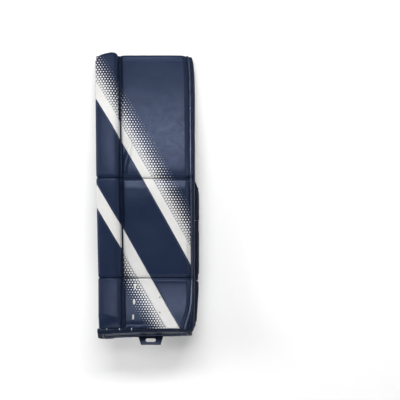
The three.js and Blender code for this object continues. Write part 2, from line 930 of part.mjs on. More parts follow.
function strapGroup() {
  const group = new THREE.Group();
  for (const { name, place, wall, rise, depthOf } of straps) {
    const buckleX = wall - buckleFromRiser;
    const line = strapLine(wingInner, wall, rise, buckleX);
    group.add(named(name + "_strap", webbing(line, place, depthOf), strapCloth));
    group.add(named(name + "_buckle", buckle(buckleX, place, depthOf), blackPlastic));
  }
  return group;
}

const pad = new THREE.Group();
pad.add(frontGroup(), stripeGroup(), backGroup(), strapGroup());

// The origin is on the floor, under the middle of the pad's box
const bounds = new THREE.Box3().setFromObject(pad);
const centre = bounds.getCenter(new THREE.Vector3());
pad.position.set(-centre.x, -centre.y, -bounds.min.z);

export default pad;
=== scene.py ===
# An ice hockey goalie's leg pad, lying on its back on a pale floor and seen from straight above.
# The foot end is at -Y, the thigh end at +Y, and the raised roll runs along the -X side.
#
# The pieces are made in the pad's flat coordinates, in millimetres: x across the pad, s down the front
# face from the thigh end, and d back from the face. place() bends them to the pad's side profile.
import math

import bmesh
import bpy
import numpy as np
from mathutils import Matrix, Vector, noise
from mathutils.bvhtree import BVHTree


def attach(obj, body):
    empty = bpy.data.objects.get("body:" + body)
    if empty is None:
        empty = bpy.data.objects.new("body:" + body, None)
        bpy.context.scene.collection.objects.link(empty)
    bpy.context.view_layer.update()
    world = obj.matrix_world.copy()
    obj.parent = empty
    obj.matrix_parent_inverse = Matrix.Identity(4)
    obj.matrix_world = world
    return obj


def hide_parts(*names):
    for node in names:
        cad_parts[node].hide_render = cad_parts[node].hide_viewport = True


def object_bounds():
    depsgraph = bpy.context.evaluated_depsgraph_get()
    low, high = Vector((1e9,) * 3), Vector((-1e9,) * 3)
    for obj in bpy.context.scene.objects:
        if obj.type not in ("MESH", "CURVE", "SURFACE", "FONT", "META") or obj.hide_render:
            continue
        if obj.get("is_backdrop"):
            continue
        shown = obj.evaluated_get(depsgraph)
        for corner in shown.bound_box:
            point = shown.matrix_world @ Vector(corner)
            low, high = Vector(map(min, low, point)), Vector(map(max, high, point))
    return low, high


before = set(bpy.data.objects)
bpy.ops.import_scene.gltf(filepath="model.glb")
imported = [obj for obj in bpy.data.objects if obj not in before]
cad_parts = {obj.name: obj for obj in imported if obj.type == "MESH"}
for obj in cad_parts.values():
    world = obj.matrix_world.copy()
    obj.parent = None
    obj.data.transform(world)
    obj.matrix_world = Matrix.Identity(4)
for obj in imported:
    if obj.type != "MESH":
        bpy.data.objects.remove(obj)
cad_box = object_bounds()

MM = 0.001

# Lengths down the face, and the pad's place on the floor
thigh_length = 326
shin_length = 254
boot_length = 134
pad_length = thigh_length + shin_length + boot_length
pad_shift = (3.43, 367.995)
floor_under_top = -36.545

# Across the pad
outer_x = -134.5
inner_x = 119
riser_x = 130
wing_x = -110.5
roll_outer = -136.5
roll_width = 60
roll_height = 25
roll_inner = roll_outer + roll_width
groove_x = roll_inner + 4
taper = 14.5

# The covers
core_thickness = 50
crown_height = 6
crown_extra = {"thigh": 2.6, "shin": 1.5, "boot": -3.8}
edge_drop = 2
break_depth = 5
start_reach, end_reach = 8, 10
fall_depth = {"thigh": 2.2, "shin": 0.6}
fall_reach = 34
top_round = 12
top_square = 3.2
toe_corner_x, toe_corner_inset = 92, 8.5
back_round = 8
piping_radius = 2.0
seat = 0.3
step = 2.5

# The stripes, as places along s on the roll's outer edge, and widths square to the stripe
stripe_slope = math.radians(60)
upper_start, upper_width = 74, 24
lower_start, lower_width = 340, 30
lower_edge = (lower_start - upper_start) * math.cos(stripe_slope)
stripe_edges = [0, upper_width, lower_edge, lower_edge + lower_width]

starts = {"thigh": 0, "shin": thigh_length, "boot": thigh_length + shin_length}
lengths = {"thigh": thigh_length, "shin": shin_length, "boot": boot_length}

# Each row: section, share of its length, and the slope of the face in degrees
slope_rows = [("thigh", 0.0, 15), ("thigh", 0.55, 13), ("thigh", 0.9, 9), ("shin", 0.12, 1)]
slope_rows += [("shin", 0.25, 0), ("shin", 0.93, 0), ("boot", 0.18, 17), ("boot", 1.0, 26)]

# Each row: section, share of its length, and the core's thickness as a share
thickness_rows = [("thigh", 0.0, 0.8), ("thigh", 0.8, 1.0), ("boot", 0.0, 1.0), ("boot", 1.0, 0.8)]

# Each row: section, share of its length, the side wall's inset, and its rounding's reach in and down
edge_rows = [
    ("thigh", 0.0, 8.0, 19.6, 16.8),
    ("thigh", 0.04, 4.3, 19.6, 16.8),
    ("thigh", 0.15, 1.3, 19.6, 16.8),
    ("thigh", 0.35, 0.0, 19.6, 16.8),
    ("shin", 0.12, 0.0, 17.4, 15.7),
    ("shin", 0.8, 0.0, 14, 14),
    ("boot", 0.24, 0.0, 14, 14),
    ("boot", 0.48, 0.4, 16, 15),
    ("boot", 0.67, 0.9, 22, 18),
    ("boot", 0.84, 1.5, 34, 24),
    ("boot", 1.0, 2.0, 42, 28),
]

# Each row: share across the face from the groove, and share of the crown's height
crown_rows = [(0, -0.25), (0.012, 0.45), (0.028, 0.78), (0.06, 0.9), (0.16, 0.97), (0.35, 1), (0.62, 1)]
crown_rows += [(0.82, 0.95), (1, 0.74)]
bank_width = 13
seam_share = 0.38

# The roll's section: share across, share of its height, share of the slant at its thigh end
roll_rows = [
    (0.015, 0.0, 1.0),
    (0.0, 0.14, 1.0),
    (0.0, 0.5, 1.0),
    (0.03, 0.76, 0.78),
    (0.1, 0.84, 0.45),
    (0.24, 0.93, 0.12),
    (0.5, 1.0, -0.14),
    (0.7, 0.99, -0.3),
    (0.85, 0.91, -0.3),
    (0.94, 0.74, -0.24),
    (0.97, 0.5, -0.14),
    (1.0, 0.12, -0.14),
    (0.985, 0.0, -0.14),
]


def smooth_step(low, high, value):
    share = np.clip((value - low) / (high - low), 0, 1)
    return share * share * (3 - 2 * share)


def hump(value, centre, width):
    return np.exp(-(((value - centre) / width) ** 2))


def fall_off(distance, reach, power=1):
    """1 at no distance, and 0 from the reach on."""
    return np.clip(1 - distance / reach, 0, 1) ** power


def quarter_turn(count):
    """Angles through a quarter turn, without its start."""
    return np.linspace(0, math.pi / 2, count + 1)[1:]


def shares(count):
    """Shares up to 1, without 0."""
    return np.linspace(0, 1, count + 1)[1:]


def join(runs):
    """Runs of points as one x and one d; what stays the same along a run may be one number."""
    pairs = [np.broadcast_arrays(x, d) for x, d in runs]
    return [np.concatenate(values) for values in zip(*pairs)]


def stations(start, end, spacing=step):
    return np.linspace(start, end, max(int((end - start) / spacing), 2) + 1)


def table_at(rows, s, column=2):
    """A table's column at s, evened out between its rows."""
    places = [starts[row[0]] + row[1] * lengths[row[0]] for row in rows]
    return np.interp(s, places, [row[column] for row in rows])


def smooth_curve(rows, count):
    """A Catmull-Rom curve through the rows, as an array of count points."""
    points = np.array(rows, float)
    points = np.vstack([2 * points[0] - points[1], points, 2 * points[-1] - points[-2]])
    result = []
    for t in np.linspace(0, len(points) - 3 - 1e-9, count):
        i = int(t)
        u = t - i
        a, b, c, d = points[i : i + 4]
        bend = (c - a) * u + (2 * a - 5 * b + 4 * c - d) * u**2 + (3 * b - a - 3 * c + d) * u**3
        result.append(b + 0.5 * bend)
    return np.array(result)


crown_curve = smooth_curve(crown_rows, 120)
roll_curve = smooth_curve(roll_rows, 56)

# The side profile of the face, walked down from the thigh end
stride = 0.5
walk_s = np.arange(0, pad_length + stride, stride)
walk_slope = np.radians(table_at(slope_rows, walk_s))
mid_slope = (walk_slope[1:] + walk_slope[:-1]) / 2
walk_y = np.concatenate([[0], np.cumsum(-stride * np.cos(mid_slope))])
walk_z = np.concatenate([[0], np.cumsum(stride * np.sin(mid_slope))])


def place(x, s, d):
    """The point, in metres, at x across, s along and d behind the face."""
    x, s, d = np.broadcast_arrays(*(np.asarray(v, float) for v in (x, s, d)))
    inside = np.clip(s, 0, pad_length)
    slope = np.interp(inside, walk_s, walk_slope)
    past = s - inside
    y = np.interp(inside, walk_s, walk_y) - past * np.cos(slope)
    z = np.interp(inside, walk_s, walk_z) + past * np.sin(slope)
    outward = np.clip((inner_x - x) / (inner_x - groove_x), 0, 1)
    out = np.empty(x.shape + (3,))
    out[..., 0] = x + taper * (s / pad_length) * outward + pad_shift[0]
    out[..., 1] = y - d * np.sin(slope) + pad_shift[1]
    out[..., 2] = z - d * np.cos(slope) - floor_under_top
    return out * MM


def s_at(y):
    """The place along s that lies at y, in metres, on the face."""
    return np.interp(pad_shift[1] - y / MM, -walk_y, walk_s)


def depth_at(s, height):
    """The depth behind the face of a point that stands at height over the floor."""
    slope = np.interp(s, walk_s, walk_slope)
    return (np.interp(s, walk_s, walk_z) - floor_under_top - height) / np.cos(slope)


def back_at(s):
    return core_thickness * table_at(thickness_rows, s)


def edge_at(s):
    """The side wall's place, and the reach and fall of its rounding."""
    inset, reach, fall = (table_at(edge_rows, s, column) for column in (2, 3, 4))
    return inner_x - inset, reach, fall


def toe_inset(x, s):
    """How far the pad's far corner is drawn in towards the sole end."""
    return toe_corner_inset * smooth_step(toe_corner_x, inner_x, x) * fall_off(pad_length - s, 18, 2)


def section_span(part):
    """Where a section's cover starts and ends along s."""
    start = starts[part] + (0 if part == "thigh" else seat / 2)
    return start, starts[part] + lengths[part] - (0 if part == "boot" else seat / 2)


def section_drop(part, s):
    """How far the face lies lower at a section's rounded or creased ends."""
    from_start, to_end = s - starts[part], starts[part] + lengths[part] - s
    if part == "thigh":
        round_off = np.clip(1 - fall_off(from_start, top_round) ** top_square, 0, None)
        drop = top_round * (1 - round_off ** (1 / top_square))
    else:
        drop = break_depth * fall_off(from_start, start_reach, 2.6)
    if part != "boot":
        drop = drop + fall_depth[part] * fall_off(to_end, fall_reach, 2.5)
        drop = drop + (break_depth - fall_depth[part]) * fall_off(to_end, end_reach, 2.6)
    return drop


def stripe_coordinates(x, s):
    """Along the stripes, and square to them from the upper stripe's upper edge, in mm."""
    x, s = x - roll_outer, s - upper_start
    along = x * math.cos(stripe_slope) + s * math.sin(stripe_slope)
    across = s * math.cos(stripe_slope) - x * math.sin(stripe_slope)
    return along, across


def grain(x, s, scale, seed):
    """Smooth noise over the flat cover, from -1 to 1, with its size in mm."""
    x, s = np.broadcast_arrays(np.asarray(x, float), np.asarray(s, float))
    flat = [noise.noise(Vector((a / scale, b / scale, seed))) for a, b in zip(x.ravel(), s.ravel())]
    return np.array(flat).reshape(x.shape)


def relief(part, x, s):
    """How far the leather stands proud of the plain face: folds, puckers and seam valleys."""
    _, across = stripe_coordinates(x, s)
    high = 0.6 * grain(x, s, 60, 1.5) + 0.16 * grain(x, s, 20, 4.5)
    for edge in stripe_edges:
        high = high - 0.7 * hump(across, edge, 2.6)
    if part == "thigh":
        # A swell along the hem, and a long fold that leans towards the roll
        fold_x = -47 - 18 * smooth_step(225, 314, s)
        strength = smooth_step(200, 250, s) * (1 - smooth_step(306, 324, s))
        high = high + 1.1 * hump(s, 4.5, 4.5)
        high = high + strength * (4.3 * hump(x, fold_x, 5.8) - 1.2 * hump(x, fold_x - 12, 6))
    if part == "shin":
        # A broad swelling under the knee break, and a valley above the boot
        from_top = s - starts["shin"]
        swell = smooth_step(1, 28, from_top) * (1 - smooth_step(34, 120, from_top))
        high = high + (3.2 + 0.5 * grain(x, s, 26, 2.5)) * swell
        high = high - 1.1 * fall_off(starts["boot"] - s, 18, 2)
    if part == "boot":
        # Puckers, a valley and a crease across the toe, and a low swell under the break
        from_toe = pad_length - s
        pucker = grain(x, s * 0.25, 15, 7.5) + 0.6 * grain(x, s * 0.3, 7, 9.5)
        across_toe = smooth_step(-74, -58, x) * (1 - smooth_step(-10, 60, x))
        high = high + 1.9 * np.exp(-from_toe / 8) * pucker - 2.2 * np.exp(-from_toe / 2.5)
        high = high + 1.6 * hump(from_toe, 9, 6) * across_toe + 0.8 * hump(s - starts["boot"], 5, 6)
    return high


def face_depth(part, x, s):
    """The finished depth of the face at x and s, from the groove to past the edge's piping."""
    wall, reach, fall = edge_at(s)
    edge_x = wall - reach
    share = np.clip((x - groove_x) / (edge_x - groove_x), 0, 1)
    rise = np.interp(share, crown_curve[:, 0], crown_curve[:, 1])
    drop = section_drop(part, s)
    turned = np.sqrt(1 - np.clip((x - edge_x) / reach, 0, 1) ** 2)
    along = np.clip((s - starts[part]) / lengths[part], 0, 1)
    face = drop - rise * (crown_height + crown_extra[part] * np.sin(along * math.pi))
    edge = edge_drop + fall * (1 - turned) + drop * turned
    seam_x = edge_x + seam_share * reach - 1
    bank = smooth_step(-bank_width, 0, x - seam_x)
    fade = smooth_step(0, 7, x - groove_x) * (1 - bank)
    return face * (1 - bank) + edge * bank - relief(part, x, s) * fade


# Meshes


def shade_smooth(mesh):
    mesh.polygons.foreach_set("use_smooth", np.ones(len(mesh.polygons), bool))


def mesh_object(name, points, faces, materials, face_material=None, pattern=None, sharp=45):
    mesh = bpy.data.meshes.new(name)
    mesh.from_pydata([tuple(p) for p in np.asarray(points).reshape(-1, 3)], [], faces)
    for material in materials:
        mesh.materials.append(material)
    if face_material is not None:
        mesh.polygons.foreach_set("material_index", np.asarray(face_material, "i"))
    if pattern is not None:
        layer = mesh.uv_layers.new(name="pattern")
        layer.data.foreach_set("uv", np.concatenate([pattern(face) for face in faces]).ravel())
    shade_smooth(mesh)
    mesh.set_sharp_from_angle(angle=math.radians(sharp))
    mesh.update()
    piece = bpy.data.objects.new(name, mesh)
    bpy.context.collection.objects.link(piece)
    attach(piece, "root")
    edit = bmesh.new()
    edit.from_mesh(mesh)
    bmesh.ops.recalc_face_normals(edit, faces=edit.faces)
    edit.to_mesh(mesh)
    edit.free()
    return piece


def dress(piece, node=None):
    """Hides the solid that a piece replaces, if it names one, and returns the piece."""
    if node:
        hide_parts(node)
    return piece


def apply_modifiers(piece):
    """Replaces a piece's mesh by the mesh its modifiers make, and removes them."""
    depsgraph = bpy.context.evaluated_depsgraph_get()
    made = bpy.data.meshes.new_from_object(piece.evaluated_get(depsgraph))
    piece.modifiers.clear()
    piece.data = made


def add_remesh(piece, size):
    remesh = piece.modifiers.new("remesh", "REMESH")
    remesh.mode = "VOXEL"
    remesh.voxel_size = size * MM


def vertex_points(mesh):
    points = np.empty(len(mesh.vertices) * 3)
    mesh.vertices.foreach_get("co", points)
    return points.reshape(-1, 3)


def ring_faces(rows, count):
    """Quads through rows of closed rings."""
    return [
        (i * count + j, i * count + (j + 1) % count, (i + 1) * count + (j + 1) % count, (i + 1) * count + j)
        for i in range(rows - 1)
        for j in range(count)
    ]


def closed_rings(name, rings, materials, face_material=None, pattern=None, sharp=45):
    """A closed piece through rings of points in metres, with flat ends."""
    rings = np.asarray(rings)
    rows, count = rings.shape[:2]
    faces = ring_faces(rows, count)
    faces += [tuple(range(count)), tuple(range((rows - 1) * count, rows * count))]
    if face_material is not None:
        face_material = list(face_material) + [0, 0]
    return mesh_object(name, rings, faces, materials, face_material, pattern, sharp)


def looped_rings(name, rings, material, sharp):
    """A piece through rings of points in metres, the last one joined to the first."""
    rings = np.asarray(rings)
    rows, count = rings.shape[:2]
    last = (rows - 1) * count
    faces = ring_faces(rows, count)
    faces += [(last + j, last + (j + 1) % count, (j + 1) % count, j) for j in range(count)]
    return mesh_object(name, rings, faces, [material], sharp=sharp)


def frames_along(path):
    """Two side vectors at each point of a path, turning as little as they can."""
    tangent = np.gradient(path, axis=0)
    tangent /= np.linalg.norm(tangent, axis=1)[:, None]
    side = np.cross(tangent[0], [0.13, 0.21, 0.97])
    sides = []
    for t in tangent:
        side = side - t * np.dot(side, t)
        side /= np.linalg.norm(side)
        sides.append(side)
    return np.array(sides), np.cross(tangent, sides)


def tube(name, path, radius, material, count=8, closed=False, waver=0.0):
    """A round cord along a path in metres; waver roughens its radius, as leather does over piping."""
    side, up = frames_along(path)
    angle = np.linspace(0, 2 * math.pi, count, endpoint=False)[:, None]
    ripple = np.array([noise.noise(Vector((i * 0.55, 0, 3.3))) for i in range(len(path))])
    radii = (radius * MM * (1 + waver * ripple))[:, None, None]
    rings = path[:, None] + radii * (np.cos(angle) * side[:, None] + np.sin(angle) * up[:, None])
    if closed:
        return looped_rings(name, rings, material, 80)
    return closed_rings(name, rings, [material], sharp=80)


def resample(path, spacing):
    """Points along a path in metres, a spacing in mm apart."""
    run = np.concatenate([[0], np.cumsum(np.linalg.norm(np.diff(path, axis=0), axis=1))])
    count = max(int(run[-1] / (spacing * MM)), 1) + 1
    at = np.linspace(0, run[-1], count)
    return np.stack([np.interp(at, run, path[:, k]) for k in range(3)], axis=1)


# Each row: share along a stitch, then its thickness and its height as shares of its radius
stitch_rows = [(0, 0.45, -0.5), (0.2, 1, 0.15), (0.5, 1.1, 0.35), (0.8, 1, 0.15), (1, 0.45, -0.5)]
stitch_sides = 6


def stitches(name, paths, material, length=3.2, gap=1.6, radius=0.34, facing=1):
    """Rows of thread stitches: each is a short grain that dips into the leather at both ends."""
    points, faces = [], []
    last_ring = (len(stitch_rows) - 1) * stitch_sides
    stitch_faces = ring_faces(len(stitch_rows), stitch_sides)
    stitch_faces += [tuple(range(stitch_sides))[::-1], tuple(range(last_ring, last_ring + stitch_sides))]
    for path in paths:
        marks = resample(path, length + gap)
        for a, b in zip(marks[:-1], marks[1:]):
            along = (b - a) / np.linalg.norm(b - a)
            side = np.cross(along, [0, 0, 1])
            side /= max(np.linalg.norm(side), 1e-9)
            up = np.cross(side, along) * facing
            base = len(points)
            for share, thick, high in stitch_rows:
                centre = a + (along * length * share + up * high * radius) * MM
                for turn in np.linspace(0, 2 * math.pi, stitch_sides, endpoint=False):
                    spoke = side * math.cos(turn) + up * math.sin(turn) * 0.8
                    points.append(centre + spoke * radius * thick * MM)
            faces += [tuple(base + i for i in face) for face in stitch_faces]
    return mesh_object(name, points, faces, [material], sharp=80)


# Materials


class Nodes:
    """Short names for building a material's nodes."""

    def __init__(self, name):
        self.material = bpy.data.materials.new(name)
        self.material.use_nodes = True
        self.tree = self.material.node_tree
        self.tree.nodes.clear()
        self.shader = self.add("ShaderNodeBsdfPrincipled")
        output = self.add("ShaderNodeOutputMaterial")
        self.tree.links.new(self.shader.outputs["BSDF"], output.inputs["Surface"])
        self.where = self.add("ShaderNodeTexCoord").outputs["Object"]

    def add(self, kind, inputs=(), **values):
        """A node with its own settings, and its sockets set or linked from pairs."""
        node = self.tree.nodes.new(kind)
        for key, value in values.items():
            setattr(node, key, value)
        for socket, value in inputs:
            self.set(node, socket, value)
        return node

    def set(self, node, socket, value):
        if isinstance(value, bpy.types.NodeSocket):
            self.tree.links.new(value, node.inputs[socket])
        else:
            node.inputs[socket].default_value = value

    def math(self, operation, a, b=0.0):
        return self.add("ShaderNodeMath", [(0, a), (1, b)], operation=operation).outputs[0]

    def times(self, a, b):
        return self.math("MULTIPLY", a, b)

    def plus(self, a, b):
        return self.math("ADD", a, b)

    def ripples(self, along, per_metre):
        return self.math("SINE", self.times(along, per_metre * 2 * math.pi))

    def mix(self, factor, a, b):
        return self.add("ShaderNodeMix", [(0, factor), (6, a), (7, b)], data_type="RGBA").outputs[2]

    def spread(self, value, low, high, to_low, to_high):
        values = (value, low, high, to_low, to_high)
        return self.add("ShaderNodeMapRange", enumerate(values)).outputs[0]

    def split(self, vector):
        return self.add("ShaderNodeSeparateXYZ", [(0, vector)]).outputs

    def noise(self, scale, detail=2.0, roughness=0.5):
        inputs = [("Vector", self.where), ("Scale", scale), ("Detail", detail), ("Roughness", roughness)]
        return self.add("ShaderNodeTexNoise", inputs).outputs["Fac"]

    def blend(self, a, b, share):
        """The tone between two noises, from 0 to 1."""
        mixed = self.plus(self.times(a, share), self.times(b, 1 - share))
        return self.spread(mixed, 0.35, 0.65, 0, 1)

    def bump(self, height, distance, strength, normal=None):
        inputs = [("Strength", strength), ("Distance", distance), ("Height", height)]
        inputs += [("Normal", normal)] if normal is not None else []
        return self.add("ShaderNodeBump", inputs).outputs["Normal"]

    def finish(self, colour, roughness, normal, levels=()):
        """Feeds the shader; the levels are the same all over the surface."""
        shaded = [("Base Color", colour), ("Roughness", roughness), ("Normal", normal)]
        for socket, value in shaded + list(levels):
            self.set(self.shader, socket, value)
        return self.material


# The fade's dots, how far it reaches from a stripe, and a place out of its reach
dot_pitch, dot_radius, least_radius = 7.4, 3.5, 0.25
dot_row_share = 0.866
dot_reach, no_dots = 52, 80.0


def halftone(n):
    """Rows of round dots that shrink with their distance from a stripe's outer edge."""
    along, across, _ = n.split(n.add("ShaderNodeUVMap", uv_map="pattern").outputs["UV"])
    row_height = dot_pitch * dot_row_share
    row = n.math("FLOOR", n.math("DIVIDE", across, row_height))
    row_centre = n.times(n.plus(row, 0.5), row_height)
    odd = n.math("MODULO", n.math("ABSOLUTE", row), 2)
    shifted = n.plus(n.math("DIVIDE", along, dot_pitch), n.times(odd, 0.5))
    sideways = n.times(n.math("SUBTRACT", n.math("FRACT", shifted), 0.5), dot_pitch)
    upwards = n.math("SUBTRACT", across, row_centre)
    distance = n.math("SQRT", n.plus(n.math("POWER", sideways, 2), n.math("POWER", upwards, 2)))
    away = n.math("MAXIMUM", n.times(row_centre, -1), n.math("SUBTRACT", row_centre, stripe_edges[3]))
    size = n.spread(away, 0, dot_reach, dot_radius, least_radius)
    dots = n.spread(n.math("SUBTRACT", size, distance), -0.12, 0.12, 0, 1)
    shown = n.times(n.math("GREATER_THAN", away, 0), n.math("LESS_THAN", away, dot_reach))
    return n.times(dots, shown)


def leather(name, colour, worn, roughness=0.35, tint=(0.60, 0.70, 1, 1), printed=None, shine=0.26):
    """Grained synthetic leather; printed is the colour of a fade of dots, laid by the pattern map."""
    n = Nodes(name)
    blotch = n.noise(90, 4, 0.6)
    inputs = [("Vector", n.where), ("Scale", 720)]
    pores = n.add("ShaderNodeTexVoronoi", inputs, feature="DISTANCE_TO_EDGE").outputs["Distance"]
    base = n.mix(n.blend(n.noise(14, 3, 0.6), blotch, 0.7), colour, worn)
    rough = n.spread(blotch, 0.3, 0.7, roughness - 0.05, roughness + 0.07)
    if printed:
        dots = halftone(n)
        base = n.mix(dots, base, printed)
        rough = n.plus(rough, n.times(dots, 0.06))
    normal = n.bump(n.noise(240, 5, 0.65), 0.0005, 0.22, n.bump(pores, 0.00022, 0.35))
    return n.finish(base, rough, normal, [("Specular IOR Level", shine), ("Specular Tint", tint)])


def woven(name, colour, worn, threads, depth=0.0003):
    """Plain woven cloth, with threads counted per metre."""
    n = Nodes(name)
    x, y, z = n.split(n.where)
    weave = n.times(n.ripples(x, threads), n.ripples(n.plus(y, z), threads))
    lint = n.noise(900, 2, 0.7)
    base = n.mix(n.blend(n.noise(35, 4, 0.6), lint, 0.6), colour, worn)
    normal = n.bump(lint, 0.0003, 0.2, n.bump(weave, depth, 0.5))
    levels = [("Sheen Weight", 0.03), ("Sheen Roughness", 0.5), ("Specular IOR Level", 0.16)]
    return n.finish(base, n.spread(lint, 0.3, 0.7, 0.79, 0.91), normal, levels)


def ribbed(name, colour, worn):
    """Webbing: ribs across the strap, and fine threads along it."""
    n = Nodes(name)
    x, y, z = n.split(n.where)
    weave = n.plus(n.ripples(n.plus(x, z), 620), n.times(n.ripples(y, 900), 0.5))
    base = n.mix(n.spread(weave, -1.5, 1.5, 0, 1), colour, worn)
    rough = n.spread(n.noise(700, 3, 0.7), 0.3, 0.7, 0.72, 0.86)
    return n.finish(base, rough, n.bump(weave, 0.0005, 0.6), [("Sheen Weight", 0.2)])


def moulded(name, colour, worn):
    n = Nodes(name)
    scuffs = n.noise(110, 5, 0.7)
    base = n.mix(n.spread(scuffs, 0.52, 0.7, 0, 1), colour, worn)
    rough = n.spread(scuffs, 0.3, 0.7, 0.34, 0.5)
    return n.finish(base, rough, n.bump(n.noise(1400, 2, 0.6), 0.0002, 0.25))


def thread(name, colour, worn):
    n = Nodes(name)
    lint = n.noise(2600, 3, 0.7)
    rough = n.spread(lint, 0.3, 0.7, 0.55, 0.75)
    return n.finish(n.mix(lint, colour, worn), rough, n.bump(lint, 0.0002, 0.4))


# Each pair: the plain colour, and the worn one
navy = (0.0066, 0.0125, 0.0315, 1), (0.0084, 0.0152, 0.0365, 1)
deep_navy = (0.0052, 0.0092, 0.0225, 1), (0.0078, 0.0128, 0.029, 1)
# The welts are real, but their navy is lighter than the face's: a painted highlight, so the thin welts read
# as light lines.
welt_navy_painted_highlight = (0.020, 0.032, 0.066, 1), (0.028, 0.042, 0.082, 1)
white = (0.57, 0.567, 0.557, 1), (0.515, 0.512, 0.503, 1)

navy_leather = leather("navy_leather", *navy, printed=white[0])
roll_leather = leather("navy_roll_leather", *navy, 0.4, printed=white[0], shine=0.19)
# A duller copy of the navy leather in the darker navy, for the cover's side walls: the darker colour is
# painted shade.
side_leather = leather("navy_side_leather", *deep_navy, 0.5, shine=0.05)
piping_leather = leather("navy_piping", *deep_navy, 0.3, shine=1.0)
trim_leather = leather("navy_trim", *deep_navy, 0.36)
white_leather = leather("white_leather", *white, 0.42, (1, 1, 1, 1))
welt_leather_painted_highlight = leather("navy_welt_painted_highlight", *welt_navy_painted_highlight, 0.4)
back_cloth = woven("back_cloth", (0.0045, 0.0082, 0.023, 1), (0.009, 0.0145, 0.036, 1), 620)
binding_tape = woven("binding_tape", (0.009, 0.011, 0.02, 1), (0.018, 0.021, 0.034, 1), 900, 0.0002)
strap_webbing = ribbed("strap_webbing", (0.006, 0.007, 0.010, 1), (0.022, 0.024, 0.031, 1))
buckle_plastic = moulded("buckle_plastic", (0.008, 0.008, 0.009, 1), (0.03, 0.03, 0.032, 1))
white_thread = thread("white_thread", (0.74, 0.73, 0.70, 1), (0.60, 0.59, 0.57, 1))
# Real navy stitching, but coloured lighter than the navy leather: a painted highlight, so the rows beside
# the stripes read as light lines.
navy_thread_painted_highlight = thread("navy_thread_painted_highlight", (0.035, 0.05, 0.115, 1), (0.07, 0.09, 0.17, 1))
dark_thread = thread("dark_thread", (0.012, 0.014, 0.022, 1), (0.03, 0.033, 0.045, 1))


# The padded sections

# How many points of a cover's ring lie under the roll, in the groove, on the face and round its edge,
# then down the inner wall, over the back, up the outer wall and in each corner of the back
flat_points, groove_points, face_points, turn_points = 12, 4, 75, 24
wall_points, back_points, side_points, corner_points = 9, 39, 8, 5
turn_from = flat_points + groove_points + face_points
face_to = turn_from + 8
back_from = turn_from + turn_points + wall_points + 2


def cover_ring(part, s, pull):
    """One ring of a section's cover at s, as x and d. pull draws it in towards its middle."""
    wall, reach, fall = edge_at(s)
    edge_x = wall - reach
    drop = float(section_drop(part, s))
    back = float(back_at(s))
    if part == "thigh":
        back -= (top_round - math.sqrt(top_round**2 - (top_round - min(s, top_round)) ** 2)) / 2
    front = max(0.0, drop - 2)
    low = edge_drop + fall
    sink, down, up = shares(groove_points), shares(wall_points), shares(side_points)
    corner = quarter_turn(corner_points)
    near, far = back_round * (1 - np.cos(corner)), back_round * (1 - np.sin(corner))
    face_x = np.linspace(groove_x, edge_x, face_points + 1)[1:]
    turn_x = edge_x + reach * np.sin(quarter_turn(turn_points))
    rear_x = np.linspace(wall - back_round, outer_x + back_round, back_points + 1)[1:]
    runs = [
        (np.linspace(outer_x + 3, roll_inner, flat_points), front),
        (roll_inner + 4 * sink, front + (max(2.0, drop) - front) * np.sin(sink * math.pi / 2)),
        (face_x, face_depth(part, face_x, np.full(face_points, s))),
        (turn_x, face_depth(part, turn_x, np.full(turn_points, s))),
        (wall + 1.1 * np.sin(down * math.pi), low + (back - back_round - low) * down),
        (wall - near, back - far),
        (rear_x, back),
        (outer_x + far, back - near),
        (outer_x - np.sin(up * math.pi), back - back_round + (front + 3 - back + back_round) * up),
        ([outer_x + 0.9], front + 0.9),
    ]
    x, d = join(runs)
    middle_x, middle_d = np.clip(x, outer_x + 14, inner_x - 20), (front + back) / 2
    return x + (middle_x - x) * pull * 0.5, d + (middle_d - d) * pull


def dot_pattern(flat, may_show):
    """A face's place in the stripes' own axes where dots may show, and far off elsewhere."""
    flat = np.array(flat).reshape(-1, 2)

    def pattern(face):
        corners = flat[list(face)]
        along, across = stripe_coordinates(corners[:, 0], corners[:, 1])
        shown = len(face) == 4 and may_show(face[0])
        return np.stack([along, across if shown else np.full(len(face), no_dots)], axis=1)

    return pattern


def cover(part):
    rows = [(0, 0.75), (0, 0.35)] if part == "thigh" else []
    rows += [(s, 0.0) for s in stations(*section_span(part))]
    rings, flat = [], []
    for s, pull in rows:
        x, d = cover_ring(part, s, pull)
        rings.append(place(x - toe_inset(x, s), s - 1.6 * pull, d))
        flat.append(np.stack([x, np.full(x.shape, s)], axis=1))
    count = len(rings[0])

    def surface_of(at):
        """The face is 0, the back 1, and the wall between them 2."""
        return 1 if back_from <= at < count - 1 else 2 if face_to <= at < back_from else 0

    surfaces = [surface_of(face[0] % count) for face in ring_faces(len(rings), count)]
    pattern = dot_pattern(flat, lambda first: flat_points + 1 < first % count <= face_to)
    # The side walls take the darker side leather: painted shade on the walls.
    materials = [navy_leather, back_cloth, side_leather]
    piece = closed_rings(part + "_cover", rings, materials, surfaces, pattern)
    dress(piece, part + "_core")


# The roll, in three lengths

roll_top_inset = 4
roll_top_slant = 13
roll_end_round = 7
bevel_slant = 22
bevel_length = 33
roll_skin = slice(8, 48)


def roll_span(part):
    start = starts[part] + (roll_top_inset if part == "thigh" else seat / 2)
    return start, starts[part] + lengths[part] - seat / 2


def end_inset(near):
    """How far the roll is drawn in near its rounded ends."""
    if near >= roll_end_round:
        return 0.0
    return 0.6 * (roll_end_round - math.sqrt(roll_end_round**2 - (roll_end_round - near) ** 2))


def roll_softness(x, s, up):
    soft = 0.45 * grain(x + 40 * up, s, 34, 6.5) + 0.2 * grain(x + 30 * up, s, 12, 8.5)
    return soft * smooth_step(0.2, 0.9, up)


